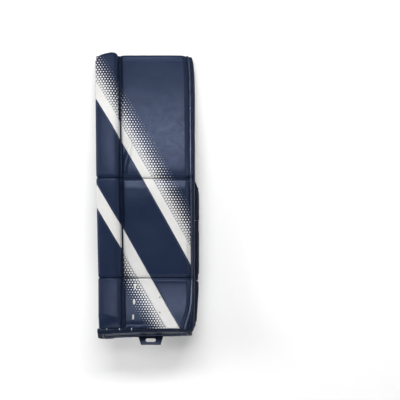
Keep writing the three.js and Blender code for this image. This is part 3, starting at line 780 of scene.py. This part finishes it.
def roll_line(part, s, share=None):
    """The roll's section at s, as x, s and d. share runs down the bevel from its crease."""
    start, end = roll_span(part)
    across, up, top = roll_curve.T
    at = np.full(across.shape, float(s))
    lift, inset, ridge = 1.0, end_inset(s - start), 0.0
    if part == "thigh":
        at = at + roll_top_slant * top * (1 - smooth_step(0, 40, s - start))
    if part == "boot":
        bevel_start = end - bevel_length
        crease = bevel_start + bevel_slant * across
        if share is None:
            at = start + (s - start) * (crease - start) / (bevel_start - start)
        else:
            at = crease + (end - crease) * share
            lift = 1 - 0.6 * share**1.7
            inset = 1.75 * share
        from_crease = bevel_start - s if share is None else share * 30
        ridge = 1.5 * hump(from_crease, 0, 2.2) * smooth_step(0.1, 0.4, up) * smooth_step(0.2, 0.9, up)
    elif end - s < roll_end_round:
        inset = end_inset(end - s)
    x = roll_outer + inset + across * (roll_width - 2 * inset)
    d = -seat - up * (roll_height * lift - inset) - roll_softness(x, at, up) - ridge
    return x, at, d


def roll(part):
    start, end = roll_span(part)
    rounding = [0, 0.3, 1.0, 2.2, 4.0]
    last = end - (bevel_length if part == "boot" else 0)
    rows = [(start + r, None) for r in rounding]
    rows += [(s, None) for s in stations(start + roll_end_round, last - (2.5 if part == "boot" else 7))]
    if part == "boot":
        rows += [(last, None)] + [(last, share) for share in shares(15)]
    else:
        rows += [(end - r, None) for r in rounding[::-1]]
    rings, flat = [], []
    under = shares(7)[:-1]
    for s, share in rows:
        x, at, d = roll_line(part, s, share)
        x = np.append(x, x[-1] + (x[0] - x[-1]) * under)
        at = np.append(at, at[-1] + (at[0] - at[-1]) * under)
        rings.append(place(x, at, np.append(d, np.full(under.shape, -seat))))
        flat.append(np.stack([x, at], axis=1))
    count = len(rings[0])
    low, high = roll_skin.start, roll_skin.stop - 1
    pattern = dot_pattern(flat, lambda first: part == "thigh" and low < first % count < high)
    piece = closed_rings(part + "_roll_cover", rings, [roll_leather], pattern=pattern, sharp=60)
    dress(piece, part + "_roll")


for make in (cover, roll):
    for section in starts:
        make(section)


# The stripes

# Each row: start along s, first edge and width across, the faces and the length of roll that it crosses
stripes = {
    "upper": (upper_start, 0, upper_width, ("thigh", "shin"), "thigh"),
    "lower": (lower_start, lower_edge, lower_width, ("shin", "boot"), "shin"),
}
stripe_lift = 1.0
stripe_thickness = 0.9
stripe_shares = np.linspace(0, 1, 25)


def stripe_offset(share, width):
    """The stripe's height over the cover, tucked into a seam along both long edges."""
    from_edge = np.minimum(share, 1 - share) * width
    return stripe_lift * np.sqrt(np.clip(from_edge / 1.6, 0, 1)) - 0.35


def stripe_line(start, x):
    return start + (x - roll_outer) * math.tan(stripe_slope)


def stripe_panel(name, top, under):
    """A closed leather strip between its upper side and its under side."""
    rings = np.concatenate([top, under[:, ::-1]], axis=1)
    dress(closed_rings(name + "_panel", rings, [white_leather], sharp=60), name)


def face_stripe(part, which):
    start, first, width, _, _ = stripes[which]
    begin, end = section_span(part)
    begin += top_round if part == "thigh" else 0
    x = np.arange(groove_x + 1.0, inner_x - 9.0, 1.6)
    low = np.maximum(stripe_line(start, x), begin)
    high = np.minimum(stripe_line(start, x) + width / math.cos(stripe_slope), end)
    keep = high - low > 0.6
    x, low, high = x[keep, None], low[keep, None], high[keep, None]
    s = low + (high - low) * stripe_shares
    x = np.broadcast_to(x, s.shape)
    share = np.clip((stripe_coordinates(x, s)[1] - first) / width, 0, 1)
    d = face_depth(part, x, s) - stripe_offset(share, width)
    stripe_panel(f"{which}_stripe_{part}", place(x, s, d), place(x, s, d + stripe_thickness))


def roll_stripe(which):
    """The stripe's length over the roll, from the foot of its outer wall to the foot of its inner one."""
    start, _, width, _, _ = stripes[which]
    across, up, _ = roll_curve[2:-1].T
    x, high = roll_outer + across * roll_width, -up * roll_height
    out_x, out_d = np.gradient(high), -np.gradient(x)
    size = np.hypot(out_x, out_d)
    s = stripe_line(start, x)[:, None] + width / math.cos(stripe_slope) * stripe_shares
    x, up, high, out_x, out_d = (
        np.broadcast_to(v[:, None], s.shape) for v in (x, up, high, out_x / size, out_d / size)
    )
    d = high - seat - roll_softness(x, s, up)
    offset = stripe_offset(stripe_shares, width) + 0.25
    sides = [place(x + out_x * o, s, d + out_d * o) for o in (offset, offset - stripe_thickness)]
    stripe_panel(f"{which}_stripe_roll", *sides)


for which in stripes:
    for part in stripes[which][3]:
        face_stripe(part, which)
for which in stripes:
    roll_stripe(which)


# Piping, seams and stitching

piping_angle, piping_out = 67.5, 1.6
edge_seam_angles = (84, 46)
navy_row_out, white_row_in = 3.2, 2.8


def edge_path(part, angle, out):
    """A line along the face's edge, at an angle round its turn and a distance out from it."""
    s = stations(*section_span(part))
    wall, reach, fall = edge_at(s)
    turn = math.radians(angle)
    x = wall - reach + (reach + out) * math.cos(turn)
    d = edge_drop + fall - (fall + out) * math.sin(turn) + section_drop(part, s) * math.sin(turn)
    return place(x, s, d)


def face_path(part, x, s, lift):
    """A line over a section's face at given x and s, lifted over the leather."""
    x, s = np.broadcast_arrays(np.asarray(x, float), np.asarray(s, float))
    return place(x, s, face_depth(part, x, s) - lift)


def roll_path(x, s, lift):
    """A line on the plain roll's skin, over x and s, lifted square to the face."""
    top = roll_curve[roll_skin]
    up = np.interp((x - roll_outer) / roll_width, top[:, 0], top[:, 1])
    return place(x, s, -seat - up * roll_height - roll_softness(x, s, up) - lift)


for section in starts:
    path = edge_path(section, piping_angle, piping_out)
    cord = tube(section + "_piping", path, piping_radius, piping_leather, 12, waver=0.1)
    dress(cord, section + "_edge_piping")

# Two lines of stitches, either side of the edge's piping
edge_seams = [edge_path(part, angle, 0.15)[3:-3] for part in starts for angle in edge_seam_angles]
dress(stitches("edge_stitches", edge_seams, navy_thread_painted_highlight, radius=0.36))


def stripe_row(part, across, lift, on_roll=False):
    """A line parallel to the stripes over one section's face or roll, as a list of one path or none."""
    first_x, last_x = (roll_outer + 3.5, roll_inner - 3.5) if on_roll else (groove_x + 1.5, inner_x - 9.5)
    start, end = section_span(part)
    low = start + (top_round if part == "thigh" else 1.2)
    x = np.arange(first_x, last_x, 1.5)
    s = stripe_line(upper_start, x) + across / math.cos(stripe_slope)
    keep = (s > low) & (s < end - 1.2)
    x, s = x[keep], s[keep]
    if len(x) <= 3:
        return []
    return [roll_path(x, s, lift) if on_roll else face_path(part, x, s, lift)]


def stripe_rows(parts, roll_part, places, lift, roll_lift):
    """The rows at each place across the stripes, over the faces and then the roll."""
    rows = [row for part in parts for across in places for row in stripe_row(part, across, lift)]
    return rows + [row for across in places for row in stripe_row(roll_part, across, roll_lift, True)]


# One edge of each stripe has a thin welt, and both have a navy and a white row of stitches beside it
for which, (_, first, width, parts, roll_part) in stripes.items():
    welt_at = first + width + 0.4 if which == "upper" else first - 0.4
    welts = [(part, path) for part in parts for path in stripe_row(part, welt_at, 0.25)]
    welts += [("roll", path) for path in stripe_row(roll_part, welt_at, 0.2, True)]
    # The stripe welts take the lighter welt leather: a painted highlight along each stripe's edge.
    for label, path in welts:
        dress(tube(f"{which}_welt_{label}", path, 0.8, welt_leather_painted_highlight, waver=0.08))
    navy_at = first - navy_row_out, first + width + navy_row_out
    white_at = first + white_row_in, first + width - white_row_in
    # The navy rows beside the stripes are in the lighter thread: painted highlight lines.
    navy_rows = stripe_rows(parts, roll_part, navy_at, 0.1, 0.1)
    white_rows = stripe_rows(parts, roll_part, white_at, 0.75, 1.0)
    dress(stitches(f"{which}_stripe_navy_stitches", navy_rows, navy_thread_painted_highlight, gap=1.5))
    dress(stitches(f"{which}_stripe_white_stitches", white_rows, white_thread, gap=1.5))

# Rows of stitches across the face, along the hem, beside each break and at the toe
face_x = np.arange(groove_x + 6, inner_x - 15, 2.0)
hem_places = [
    ("thigh", top_round + 5),
    ("thigh", starts["shin"] - 9),
    ("shin", starts["shin"] + 8.5),
    ("shin", starts["boot"] - 9),
    ("boot", starts["boot"] + 8.5),
]
hem_rows = [face_path(part, face_x, s, 0.1) for part, s in hem_places]
hem_rows.append(face_path("boot", face_x[:-6], pad_length - 7, 0.1))
dress(stitches("hem_stitches", hem_rows, navy_thread_painted_highlight))

# Rows of stitches along the outer side wall, and round the back cloth of each section
side_rows, back_rows = [], []
for part in starts:
    start, end = section_span(part)
    start += 16 if part == "thigh" else 0
    s = stations(start + 8, end - 6)
    back = back_at(s)
    for share in (0.14, 0.86):
        d = 4 + (back - back_round - 4) * share
        wall_share = np.clip((d - 3) / (back - back_round - 3), 0, 1)
        side_rows.append(place(outer_x - np.sin(wall_share * math.pi) - 0.05, s, d))
    back_rows += [place(x, s, back + 0.05) for x in (outer_x + 16, inner_x - 18)]
    x = np.arange(outer_x + 18, inner_x - 20, 3.0)
    back_rows += [place(x, at, back_at(at) + 0.05) for at in (start + 12, end - 10)]
for label, rows, facing in (("side", side_rows, 1), ("back", back_rows, -1)):
    dress(stitches(label + "_stitches", rows, navy_thread_painted_highlight, 3.4, 1.6, 0.36, facing))

# A thin welt lies in each break, and one follows the groove beside the roll
break_x = np.arange(groove_x + 2, inner_x - 12, 2.0)
# The boot break's welt takes the lighter welt leather: a painted highlight along the break.
for part, material in (("shin", trim_leather), ("boot", welt_leather_painted_highlight)):
    path = face_path(part, break_x, starts[part] + 1.4, -0.1)
    dress(tube(part + "_break_welt", path, 1.0, material, waver=0.1))
for part in starts:
    start, end = section_span(part)
    s = stations(start + (top_round if part == "thigh" else 2), end - 2)
    path = place(groove_x + 0.2, s, np.maximum(2.0, section_drop(part, s)) - 0.5)
    dress(tube(part + "_groove_welt", path, 1.3, trim_leather, waver=0.12))

# The roll's own seam, low on its outer shoulder
seam_rows = []
for part in starts:
    start, end = section_span(part)
    last = end - (bevel_length if part == "boot" else 9)
    s = stations(start + (22 if part == "thigh" else 9), last)
    seam_rows.append(roll_path(np.full(s.shape, roll_outer + 0.07 * roll_width), s, 0.1))
dress(stitches("roll_seam_stitches", seam_rows, navy_thread_painted_highlight, 3.4, 1.6, 0.36))

# Three bar tacks beside the lower stripe, each a bundle of close white stitches
tack_length, tack_width, tack_pitch = 13, 5.0, 0.8
for number, (x, s) in enumerate(((-42, 603), (-45, 643), (-47.5, 684))):
    rows = []
    count = int(tack_length / tack_pitch)
    for i in range(count):
        wobble = 0.35 * math.sin(i * 2.4)
        xs = np.array([x - tack_width / 2 + wobble, x, x + tack_width / 2 + wobble])
        rows.append(face_path("boot", xs, s + (i - count / 2) * tack_pitch, 0.35))
    tack = stitches(f"bar_tack_{number}", rows, white_thread, tack_width * 0.94, tack_width * 0.02, 0.45)
    dress(tack)

# Two small knots where the lining is tied through the lower stripe
turn = np.linspace(0, 4 * math.pi, 40)
for number, s in enumerate((631, 671)):
    path = face_path("boot", 25 + 1.1 * np.cos(turn), s + 1.1 * np.sin(turn), 0.9)
    path[:, 2] += 0.35 * MM * np.sin(turn * 1.5)
    dress(tube(f"lining_knot_{number}", path, 0.7, dark_thread))


# The toe's binding and tab

binding_thickness = 6
binding_proud = 4
binding_start = pad_length + seat
binding_end = binding_start + binding_thickness
rim_reach = 6.4

# The binding's section over its rim, then over the sole end: how far ahead, and how far out.
# It is duller leather from one of the rim's rows on.
dull_from_row = 9
rim_rows = [(0, 1.2), (0.35, 3.4), (0.7, 4.2), (3.2, 4.1), (4.2, 3.6), (5.2, 2.5), (6.0, 1.0), (6.4, -0.6)]
end_rows = [(6.6, -2.0), (6.6, -3.5), (6.4, -5.0), (6.3, -7.0), (6.1, -9.0), (5.9, -11.5), (5.7, -14.0)]

# Each row: x, and how far the rim runs on: it hangs at the roll and is drawn in at the far corner
slant_rows = [(outer_x, 5.2), (-112, 4.0), (-95, 1.6), (-20, -1.4), (80, -3.2), (105, -4.5), (118, -6.0)]
slant_rows += [(124, -7.5)]


def toe_outline(out):
    """The sole end's outline, grown by out, as x and d: front, rounded edge, back, outer side."""
    wall, reach, fall = edge_at(pad_length)
    back = back_at(pad_length) + out
    corner = back_round + min(out, 0) * 0.4
    turn, soft = quarter_turn(12), quarter_turn(5)[:-1]
    near, far = corner * (1 - np.cos(turn)), corner * (1 - np.sin(turn))
    return join([
        (np.linspace(outer_x + 4, wall - reach, 60), edge_drop - 2.0 - out),
        (wall - reach + (reach + out) * np.sin(turn), edge_drop + fall - (fall + out) * np.cos(turn)),
        (wall + out, np.linspace(edge_drop + fall, back - corner, 6)[1:]),
        (wall + out - near, back - far),
        (np.linspace(wall + out - corner, outer_x - out + corner, 66)[1:], back),
        (outer_x - out + far, back - near),
        (outer_x - out, np.linspace(back - corner, 4 - out, 14)[1:]),
        (outer_x - out + 4 * (1 - np.cos(soft)), 4 - out - 4 * np.sin(soft)),
    ])


def drawn_in(x, ahead_share):
    """The binding's x once its far corner is drawn in, more so towards the rim."""
    return x - toe_inset(x, pad_length) - 2.5 * smooth_step(90, 122, x) * ahead_share**1.7


def toe_binding():
    """The leather binding over the sole end, puckered where it is gathered round the corners."""
    rows = [(ahead, np.interp(ahead, *np.transpose(rim_rows))) for ahead in np.linspace(0, rim_reach, 19)]
    middle_d = (edge_drop + back_at(pad_length)) / 2
    slant_x, slant = np.transpose(slant_rows)
    rings = []
    for ahead, out in rows + end_rows:
        x, d = toe_outline(out)
        run = np.concatenate([[0], np.cumsum(np.hypot(np.diff(x), np.diff(d)))])
        gather = 0.45 + 0.55 * np.exp(-(((x - outer_x) / 70) ** 2))
        ripple = grain(run, ahead * 2.2, 9, 11.5) + 0.7 * grain(run, ahead, 21, 3.5)
        near_rim = hump(out, 3, 4.5)
        fold = hump(ahead, 1.4 + 1.2 * smooth_step(outer_x, inner_x, x), 0.9)
        at = binding_start + ahead + np.interp(x, slant_x, slant) * smooth_step(0.5, 6, ahead)
        at = at + 1.9 * ripple * gather * near_rim + 0.5 * grain(x, d, 22, 5.5) * (out < 1)
        at = at + 1.5 * grain(run, out * 0.4, 8, 2.5) * hump(out, -4, 4)
        d = d + np.sign(d - middle_d) * (1.1 * ripple * gather - 0.7 * fold) * near_rim
        roll_side = 1.5 * (1 - smooth_step(-136, -122, x)) * near_rim
        x = drawn_in(x, np.clip(ahead / rim_reach, 0, 1)) - roll_side
        rings.append(place(x, at, d))
    surfaces = [int(row >= dull_from_row) for row in range(len(rings) - 1) for _ in rings[0]]
    piece = closed_rings("toe_binding_cover", rings, [trim_leather, side_leather], surfaces, sharp=70)
    dress(piece, "toe_binding")
    x, d = toe_outline(-9.0)
    path = place(drawn_in(x, 1), binding_start + 6.5 + np.interp(x, slant_x, slant), d)
    welt = tube("toe_end_welt", resample(path, 3), 1.1, piping_leather, closed=True, waver=0.1)
    dress(welt)


toe_binding()

toe_s = np.array([pad_length - 1.5, pad_length + 2.5, pad_length + 6.5])
toe_rows = [place(x + np.array([0, 0.3, 0.6]), toe_s, -3.6) for x in (-116, -84, -52)]
dress(stitches("toe_white_stitches", toe_rows, white_thread, 6.5, 0.2, 0.7))

tab_thickness = 4
tab_top_width, tab_end_width = 76, 54.2
tab_taper = 34
tab_centre = -1
tab_lap = 38
tab_reach = 18.5
slot_length, slot_width = 28, 10
slot_from_end = 12.5

# Each row of the tab's rim and of its slot's rim: how far in or out, and share of the thickness
tab_rim = [(0.9, 0.0), (0.3, 0.12), (0.0, 0.35), (0.0, 0.65), (0.3, 0.88), (0.9, 1.0)]
slot_front = [(0.0, 0.7), (0.0, 0.25), (0.5, -0.14), (1.6, -0.14), (2.4, 0.0)]
slot_back = [(2.4, 1.0), (1.6, 1.14), (0.5, 1.14), (0.0, 0.9)]


def toe_tab():
    """The lace tab behind the toe, as rings round its slot."""
    end = binding_end + tab_reach
    slot_s = end - slot_from_end
    angle = np.linspace(0, 2 * math.pi, 120, endpoint=False)
    ray = np.stack([np.cos(angle), np.sin(angle)], axis=1)
    half_top, half_end = tab_top_width / 2, tab_end_width / 2
    top_s, taper_s = pad_length - tab_lap - slot_s, end - tab_taper - slot_s
    corners = [(-half_top, top_s), (half_top, top_s), (half_top, taper_s)]
    corners += [(half_end, slot_from_end), (-half_end, slot_from_end), (-half_top, taper_s)]

    def rim(inset):
        """The tab's outline as seen from the slot's middle, drawn in by an inset."""
        reach = np.full(len(ray), np.inf)
        for a, b in zip(np.array(corners), np.array(corners[1:] + corners[:1])):
            along = (b - a) / np.linalg.norm(b - a)
            normal = np.array([along[1], -along[0]])
            facing = ray @ normal
            ahead = facing > 1e-6
            reach[ahead] = np.minimum(reach[ahead], (np.dot(a, normal) - inset) / facing[ahead])
        return ray * reach[:, None]

    def slot(grown):
        """The slot's outline, two straights and two round ends, grown all round."""
        half = (slot_length - slot_width) / 2
        radius = slot_width / 2 + grown
        level = np.abs(ray[:, 1]) < 1e-6
        flat = radius / np.where(level, 1e-6, np.abs(ray[:, 1]))
        dot = half * np.abs(ray[:, 0])
        round_end = dot + np.sqrt(np.clip(dot**2 - half**2 + radius**2, 0, None))
        straight = np.abs(flat * ray[:, 0]) <= half
        return ray * np.where(straight, flat, round_end)[:, None]

    front = back_at(pad_length) + binding_proud + seat
    inner, outer = slot(slot_front[-1][0]), rim(tab_rim[0][0])
    between = (0.25, 0.5, 0.75)
    loops = [(slot(grown), share) for grown, share in slot_front]
    loops += [(inner + (outer - inner) * t, 0.0) for t in between]
    loops += [(rim(inset), share) for inset, share in tab_rim]
    loops += [(outer + (inner - outer) * t, 1.0) for t in between]
    loops += [(slot(grown), share) for grown, share in slot_back]
    rings = []
    for points, share in loops:
        x, s = points[:, 0] + tab_centre, points[:, 1] + slot_s
        lapped = 1 - smooth_step(pad_length - 5, pad_length - 1, s)
        near = front + (back_at(np.minimum(s, pad_length)) + seat - front) * lapped
        sag = 0.5 * grain(x, s, 30, 8.5) * smooth_step(binding_end, end, s)
        rings.append(place(x, s, near + (front + tab_thickness - near) * share + sag))
    dress(looped_rings("toe_tab_cover", rings, trim_leather, 60), "toe_tab")


toe_tab()


# The padded walls behind the pad, swelled by cloth simulation

wall_voxel = 4.0
cloth_frames = 20
floor_gap = 0.3

# How far a wall is drawn in before it swells, and how far in and out it may end up
wall_shrink = 2.4
most_in, most_out = 0.8, 1.6

# The rim beside the core, the outer side's inset, and the knee block's rounding at its thigh end
seam_reach, seam_lift = 5, 0.9
side_inset = 1.2
knee_top_inset, knee_top_reach = 7.5, 34


def square_corner(points, s, end, radius=9, power=8):
    """Fills out a riser's corner in plan, where its outer side meets an end that faces another riser."""
    toward = 1 if end > np.mean(s) else -1
    a = fall_off(np.abs(end - s), radius)
    b = fall_off(riser_x - points[:, 0] / MM + pad_shift[0], radius)
    size = np.maximum((a**power + b**power) ** (1 / power), 1e-6)
    grow = np.where((a > 0) & (b > 0), np.hypot(a, b) / size, 1) - 1
    points[:, 0] += b * grow * radius * MM
    points[:, 1] -= toward * (a * grow * radius + 0.6 * smooth_step(0.75, 0.95, a * (1 + grow))) * MM


def swell(piece):
    """Blows a wall up as cloth under pressure."""
    cloth = piece.modifiers.new("cloth", "CLOTH")
    cloth.settings.use_pressure = True
    cloth.settings.uniform_pressure_force = 4
    cloth.settings.tension_stiffness = 12
    cloth.settings.compression_stiffness = 12
    cloth.settings.bending_stiffness = 0.6
    cloth.settings.effector_weights.gravity = 0
    cloth.point_cache.frame_start = 1
    cloth.point_cache.frame_end = cloth_frames
    for number in range(1, cloth_frames + 1):
        bpy.context.scene.frame_set(number)
    apply_modifiers(piece)
    bpy.context.scene.frame_set(1)


def padded_wall(node):
    """A padded wall from its CAD solid: remeshed, swelled as cloth, and smoothed."""
    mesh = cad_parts[node].data.copy()
    mesh.name = node + "_cover"
    piece = bpy.data.objects.new(mesh.name, mesh)
    bpy.context.collection.objects.link(piece)
    mesh.materials.clear()
    mesh.materials.append(back_cloth)
    add_remesh(piece, wall_voxel)
    apply_modifiers(piece)
    before = vertex_points(piece.data)
    normals = np.array([v.normal for v in piece.data.vertices])
    piece.data.vertices.foreach_set("co", (before - normals * wall_shrink * MM).ravel())
    swell(piece)
    after = vertex_points(piece.data)
    outwards = np.sum((after - before) * normals, axis=1)
    after += normals * (np.clip(outwards, -most_in * MM, most_out * MM) - outwards)[:, None]

    # The rim beside the core stays as it was, lifted to close the seam
    s = s_at(before[:, 1])
    by_core = fall_off(depth_at(s, before[:, 2] / MM) - back_at(s), seam_reach)[:, None]
    after = after * (1 - by_core) + before * by_core
    after[:, 2] += seam_lift * MM * by_core[:, 0]
    if node in ("knee_block", "calf_riser"):
        square_corner(after, s, s.max())
    if node == "calf_riser":
        square_corner(after, s, s.min())
    outer_side = smooth_step(riser_x - 12, riser_x, after[:, 0] / MM - pad_shift[0])
    knee_top = knee_top_inset * fall_off(s - s.min(), knee_top_reach, 2) if node == "knee_block" else 0
    after[:, 0] -= outer_side * (side_inset + knee_top) * MM
    after[:, 2] = np.maximum(after[:, 2], floor_gap * MM)
    piece.data.vertices.foreach_set("co", after.ravel())
    subdivide = piece.modifiers.new("smooth", "SUBSURF")
    subdivide.levels = subdivide.render_levels = 1
    apply_modifiers(piece)
    shade_smooth(piece.data)
    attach(piece, "root")
    return dress(piece, node)


wall_nodes = ("knee_wing", "calf_wing", "knee_block", "calf_riser", "inner_boot_flap", "outer_boot_flap")
walls = {node: padded_wall(node) for node in wall_nodes}


def rim_path(piece, side):
    """A line round a wall's rim, a little in from one of its broad sides, outside the core."""
    points = vertex_points(piece.data)
    drift, middle = np.polyfit(points[:, 1], points[:, 0], 1)
    off_middle = points[:, 0] - drift * points[:, 1] - middle
    inset = side * (np.percentile(np.abs(off_middle), 97) - 2.2 * MM)
    _, centre_y, centre_z = (points.min(axis=0) + points.max(axis=0)) / 2
    tree = BVHTree.FromObject(piece, bpy.context.evaluated_depsgraph_get())
    path = []
    for angle in np.linspace(0.5 * math.pi, 2.5 * math.pi, 220, endpoint=False):
        ray = Vector((0, math.cos(angle), math.sin(angle)))
        y = centre_y
        for _ in range(3):
            start = Vector((drift * y + middle + inset, centre_y, centre_z)) + ray * 0.3
            hit = tree.ray_cast(start, -ray)[0]
            if hit is None:
                break
            y = hit.y
        if hit is not None and depth_at(s_at(hit.y), hit.z / MM) > back_at(s_at(hit.y)) + 3:
            path.append(np.array(hit))
    return np.array(path)


for node, piece in walls.items():
    for side, label in ((-1, "outer"), (1, "inner")):
        path = resample(rim_path(piece, side), 3)
        dress(tube(f"{node}_{label}_piping", path, 1.5, binding_tape, waver=0.08))


# The webbing straps and their slider buckles

strap_width, strap_thickness = 38, 2.4
strap_rise, strap_bend = 34, 9
strap_low = 1.8
strap_from_x = wing_x + 22
sewn_from, sewn_to = strap_from_x + 13, strap_from_x + 37
sewn_half = 15
buckle_length, buckle_rim, buckle_wall = 28, 5, 2.6
buckle_from_wall = 34
buckle_bar = 5.2
flap_reach = 58
boot_strap_s = starts["boot"] + 30


def from_flap_back(s, height):
    """The boot strap's heights count from the back edge of the flaps that it crosses between."""
    return back_at(boot_strap_s) + flap_reach - 14 - height


# Each strap's place along s, the x of the wall that it reaches, and its depth by s and height
straps = {
    "knee": (starts["shin"] + 30, 58, depth_at),
    "calf": (starts["boot"] - 92, 74, depth_at),
    "boot": (boot_strap_s, 104.69, from_flap_back),
}


def strap_line(wall_at):
    """The strap's centre line as x and height: down one wall, across through the buckle, up the other."""
    left, right = strap_from_x + seat + strap_thickness / 2, wall_at - seat - strap_thickness / 2
    turn = np.linspace(0, math.pi / 2, 12)
    over, up = strap_bend * (1 - np.cos(turn)), strap_low + strap_bend * (1 - np.sin(turn))
    rise = np.linspace(strap_rise, strap_low + strap_bend, 10)[:-1]
    across = np.arange(left + strap_bend + 1.5, right - strap_bend - 1, 1.5)
    from_buckle = np.abs(across - (wall_at - buckle_from_wall)) - buckle_length / 2
    lifted = strap_low + buckle_wall * (1 - smooth_step(0, 6, from_buckle))
    wall_run = np.ones(len(rise))
    x = np.concatenate([wall_run * left, left + over, across, right - over[::-1], wall_run * right])
    return x, np.concatenate([rise, up, lifted, up[::-1], rise[::-1]])


def strap(name):
    place_s, wall_at, depth_of = straps[name]
    x, height = strap_line(wall_at)
    along = np.stack([np.gradient(x), np.gradient(height)], axis=1)
    along /= np.linalg.norm(along, axis=1)[:, None]
    half = strap_width / 2
    width = np.concatenate([[-1, -0.985, -0.95], np.linspace(-0.9, 0.9, 19), [0.95, 0.985, 1]]) * half
    thick = strap_thickness / 2 * np.sqrt(np.clip((half - np.abs(width)) / 1.2, 0.12, 1))
    ring_width = np.concatenate([width, width[::-1]])
    ring_thick = np.concatenate([thick, -thick[::-1]])
    s = place_s + ring_width
    rings = []
    for i, (x_at, height_at) in enumerate(zip(x, height)):
        wave = 0.18 * grain(x_at, ring_width * 0.4, 26, 12.5) * smooth_step(2, 12, i)
        off = ring_thick + wave * smooth_step(strap_low + 8, strap_low + 4, height_at)
        rings.append(place(x_at - along[i, 1] * off, s, depth_of(s, height_at + along[i, 0] * off)))
    piece = closed_rings(name + "_webbing", rings, [strap_webbing], sharp=50)
    dress(piece, name + "_strap")


def strap_stitches(name):
    """A sewn box with a cross in it, at the fixed end of the strap's run, on its outer face."""
    place_s, _, depth_of = straps[name]
    surface = strap_low - strap_thickness / 2
    a, b = (sewn_from, -sewn_half), (sewn_to, -sewn_half)
    c, d = (sewn_to, sewn_half), (sewn_from, sewn_half)
    rows = []
    for near, far in ((a, b), (b, c), (c, d), (d, a), (a, c), (d, b)):
        x, s = np.linspace(near, far, 12).T
        rows.append(place(x, place_s + s, depth_of(place_s + s, surface)))
    piece = stitches(name + "_strap_stitches", rows, white_thread, 2.6, 1.0, 0.32, facing=-1)
    dress(piece)


def buckle(name):
    """A moulded slider: two rails joined by bars over and under the webbing."""
    place_s, wall_at, depth_of = straps[name]
    middle = wall_at - buckle_from_wall
    half, rail_in = buckle_length / 2, strap_width / 2 + seat
    rail_out = rail_in + buckle_rim
    foot, top = 0.6 + buckle_wall, 0.6 + buckle_wall + strap_thickness
    low, high = seat, top + seat + buckle_wall
    blocks = [(-half, half, side * (rail_in - 0.4), side * rail_out, low, high) for side in (-1, 1)]
    for bar in (-half, -buckle_bar / 2, half - buckle_bar):
        for under, over in ((low, foot - seat), (top + seat, high)):
            blocks.append((bar, bar + buckle_bar, 1 - rail_out, rail_out - 1, under, over))
    for side in (-1, 1):
        for rib in (-6, 0, 6):
            grip = side * (rail_in + 1), side * (rail_out - 0.6)
            blocks.append((rib - 0.9, rib + 0.9, *grip, low - 0.2, high + 0.5))
    points, faces = [], []
    for x0, x1, s0, s1, h0, h1 in blocks:
        base = len(points)
        ends = [(x, place_s + s, h) for x in (x0, x1) for s in sorted((s0, s1)) for h in (h0, h1)]
        points += [place(middle + x, s, depth_of(s, h)) for x, s, h in ends]
        for face in ((0, 1, 3, 2), (4, 6, 7, 5), (0, 4, 5, 1), (2, 3, 7, 6), (0, 2, 6, 4), (1, 5, 7, 3)):
            faces.append(tuple(base + k for k in face))
    piece = mesh_object(name + "_slider", points, faces, [buckle_plastic])
    add_remesh(piece, 0.55)
    smooth = piece.modifiers.new("smooth", "SMOOTH")
    smooth.factor, smooth.iterations = 0.5, 4
    apply_modifiers(piece)
    shade_smooth(piece.data)
    dress(piece, name + "_buckle")


for name in straps:
    strap(name)
    strap_stitches(name)
    buckle(name)


# Camera, light and floor

face_height = 0.107
view_width = 1.016
camera_distance = 4.5
film_width = 36

scene = bpy.context.scene
camera = bpy.data.objects.new("camera", bpy.data.cameras.new("camera"))
bpy.context.collection.objects.link(camera)
scene.camera = camera
camera.location = (0.1364, -0.006, face_height + camera_distance)
camera.rotation_euler = (0, 0, 0)
camera.data.sensor_width = film_width
camera.data.lens = film_width * camera_distance / view_width
camera.data.clip_end = 50

light_target = Vector((0.05, 0, 0.05))


def area_light(name, location, size, power):
    data = bpy.data.lights.new(name, "AREA")
    data.shape = "RECTANGLE"
    data.size, data.size_y = size
    data.energy = power
    light = bpy.data.objects.new(name, data)
    light.location = location
    light.rotation_euler = (light_target - Vector(location)).to_track_quat("-Z", "Y").to_euler()
    bpy.context.collection.objects.link(light)


# Each row: name, tilt from straight up and turn from +Y towards +X in degrees, distance, size and power
softboxes = [
    ("high_light", 16, 0, 6.0, (2.0, 0.9), 44),
    ("foot_light", 62, 180, 3.5, (2.6, 1.5), 52),
    ("left_light", 62, -78, 3.5, (1.6, 1.6), 72),
    ("right_light", 68, 80, 3.5, (1.6, 1.6), 26),
]
area_light("key_light", (0.05, 0.8, 1.5), (1.4, 0.35), 23.5)
for name, tilt, turn, distance, size, power in softboxes:
    tilt, turn = math.radians(tilt), math.radians(turn)
    out = Vector((math.sin(tilt) * math.sin(turn), math.sin(tilt) * math.cos(turn), math.cos(tilt)))
    area_light(name, out * distance + Vector((light_target.x, 0, 0)), size, power)

world = bpy.data.worlds.new("world")
scene.world = world
world.use_nodes = True
world.node_tree.nodes["Background"].inputs[0].default_value = (1, 1, 1, 1)
world.node_tree.nodes["Background"].inputs[1].default_value = 0.10
scene.view_settings.view_transform = "Standard"

floor_nodes = Nodes("floor")
floor_tone = floor_nodes.mix(floor_nodes.noise(2), (0.90, 0.90, 0.90, 1), (0.92, 0.92, 0.92, 1))
floor_nodes.set(floor_nodes.shader, "Base Color", floor_tone)
floor_nodes.set(floor_nodes.shader, "Roughness", 0.7)
bpy.ops.mesh.primitive_plane_add(size=40, location=(0, 0, 0))
floor = bpy.context.object
floor.name = "floor"
floor.data.materials.append(floor_nodes.material)
floor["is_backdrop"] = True

boxes = {"cad": cad_box, "visual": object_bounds()}
sizes = {name: [list(map(float, corner)) for corner in box] for name, box in boxes.items()}
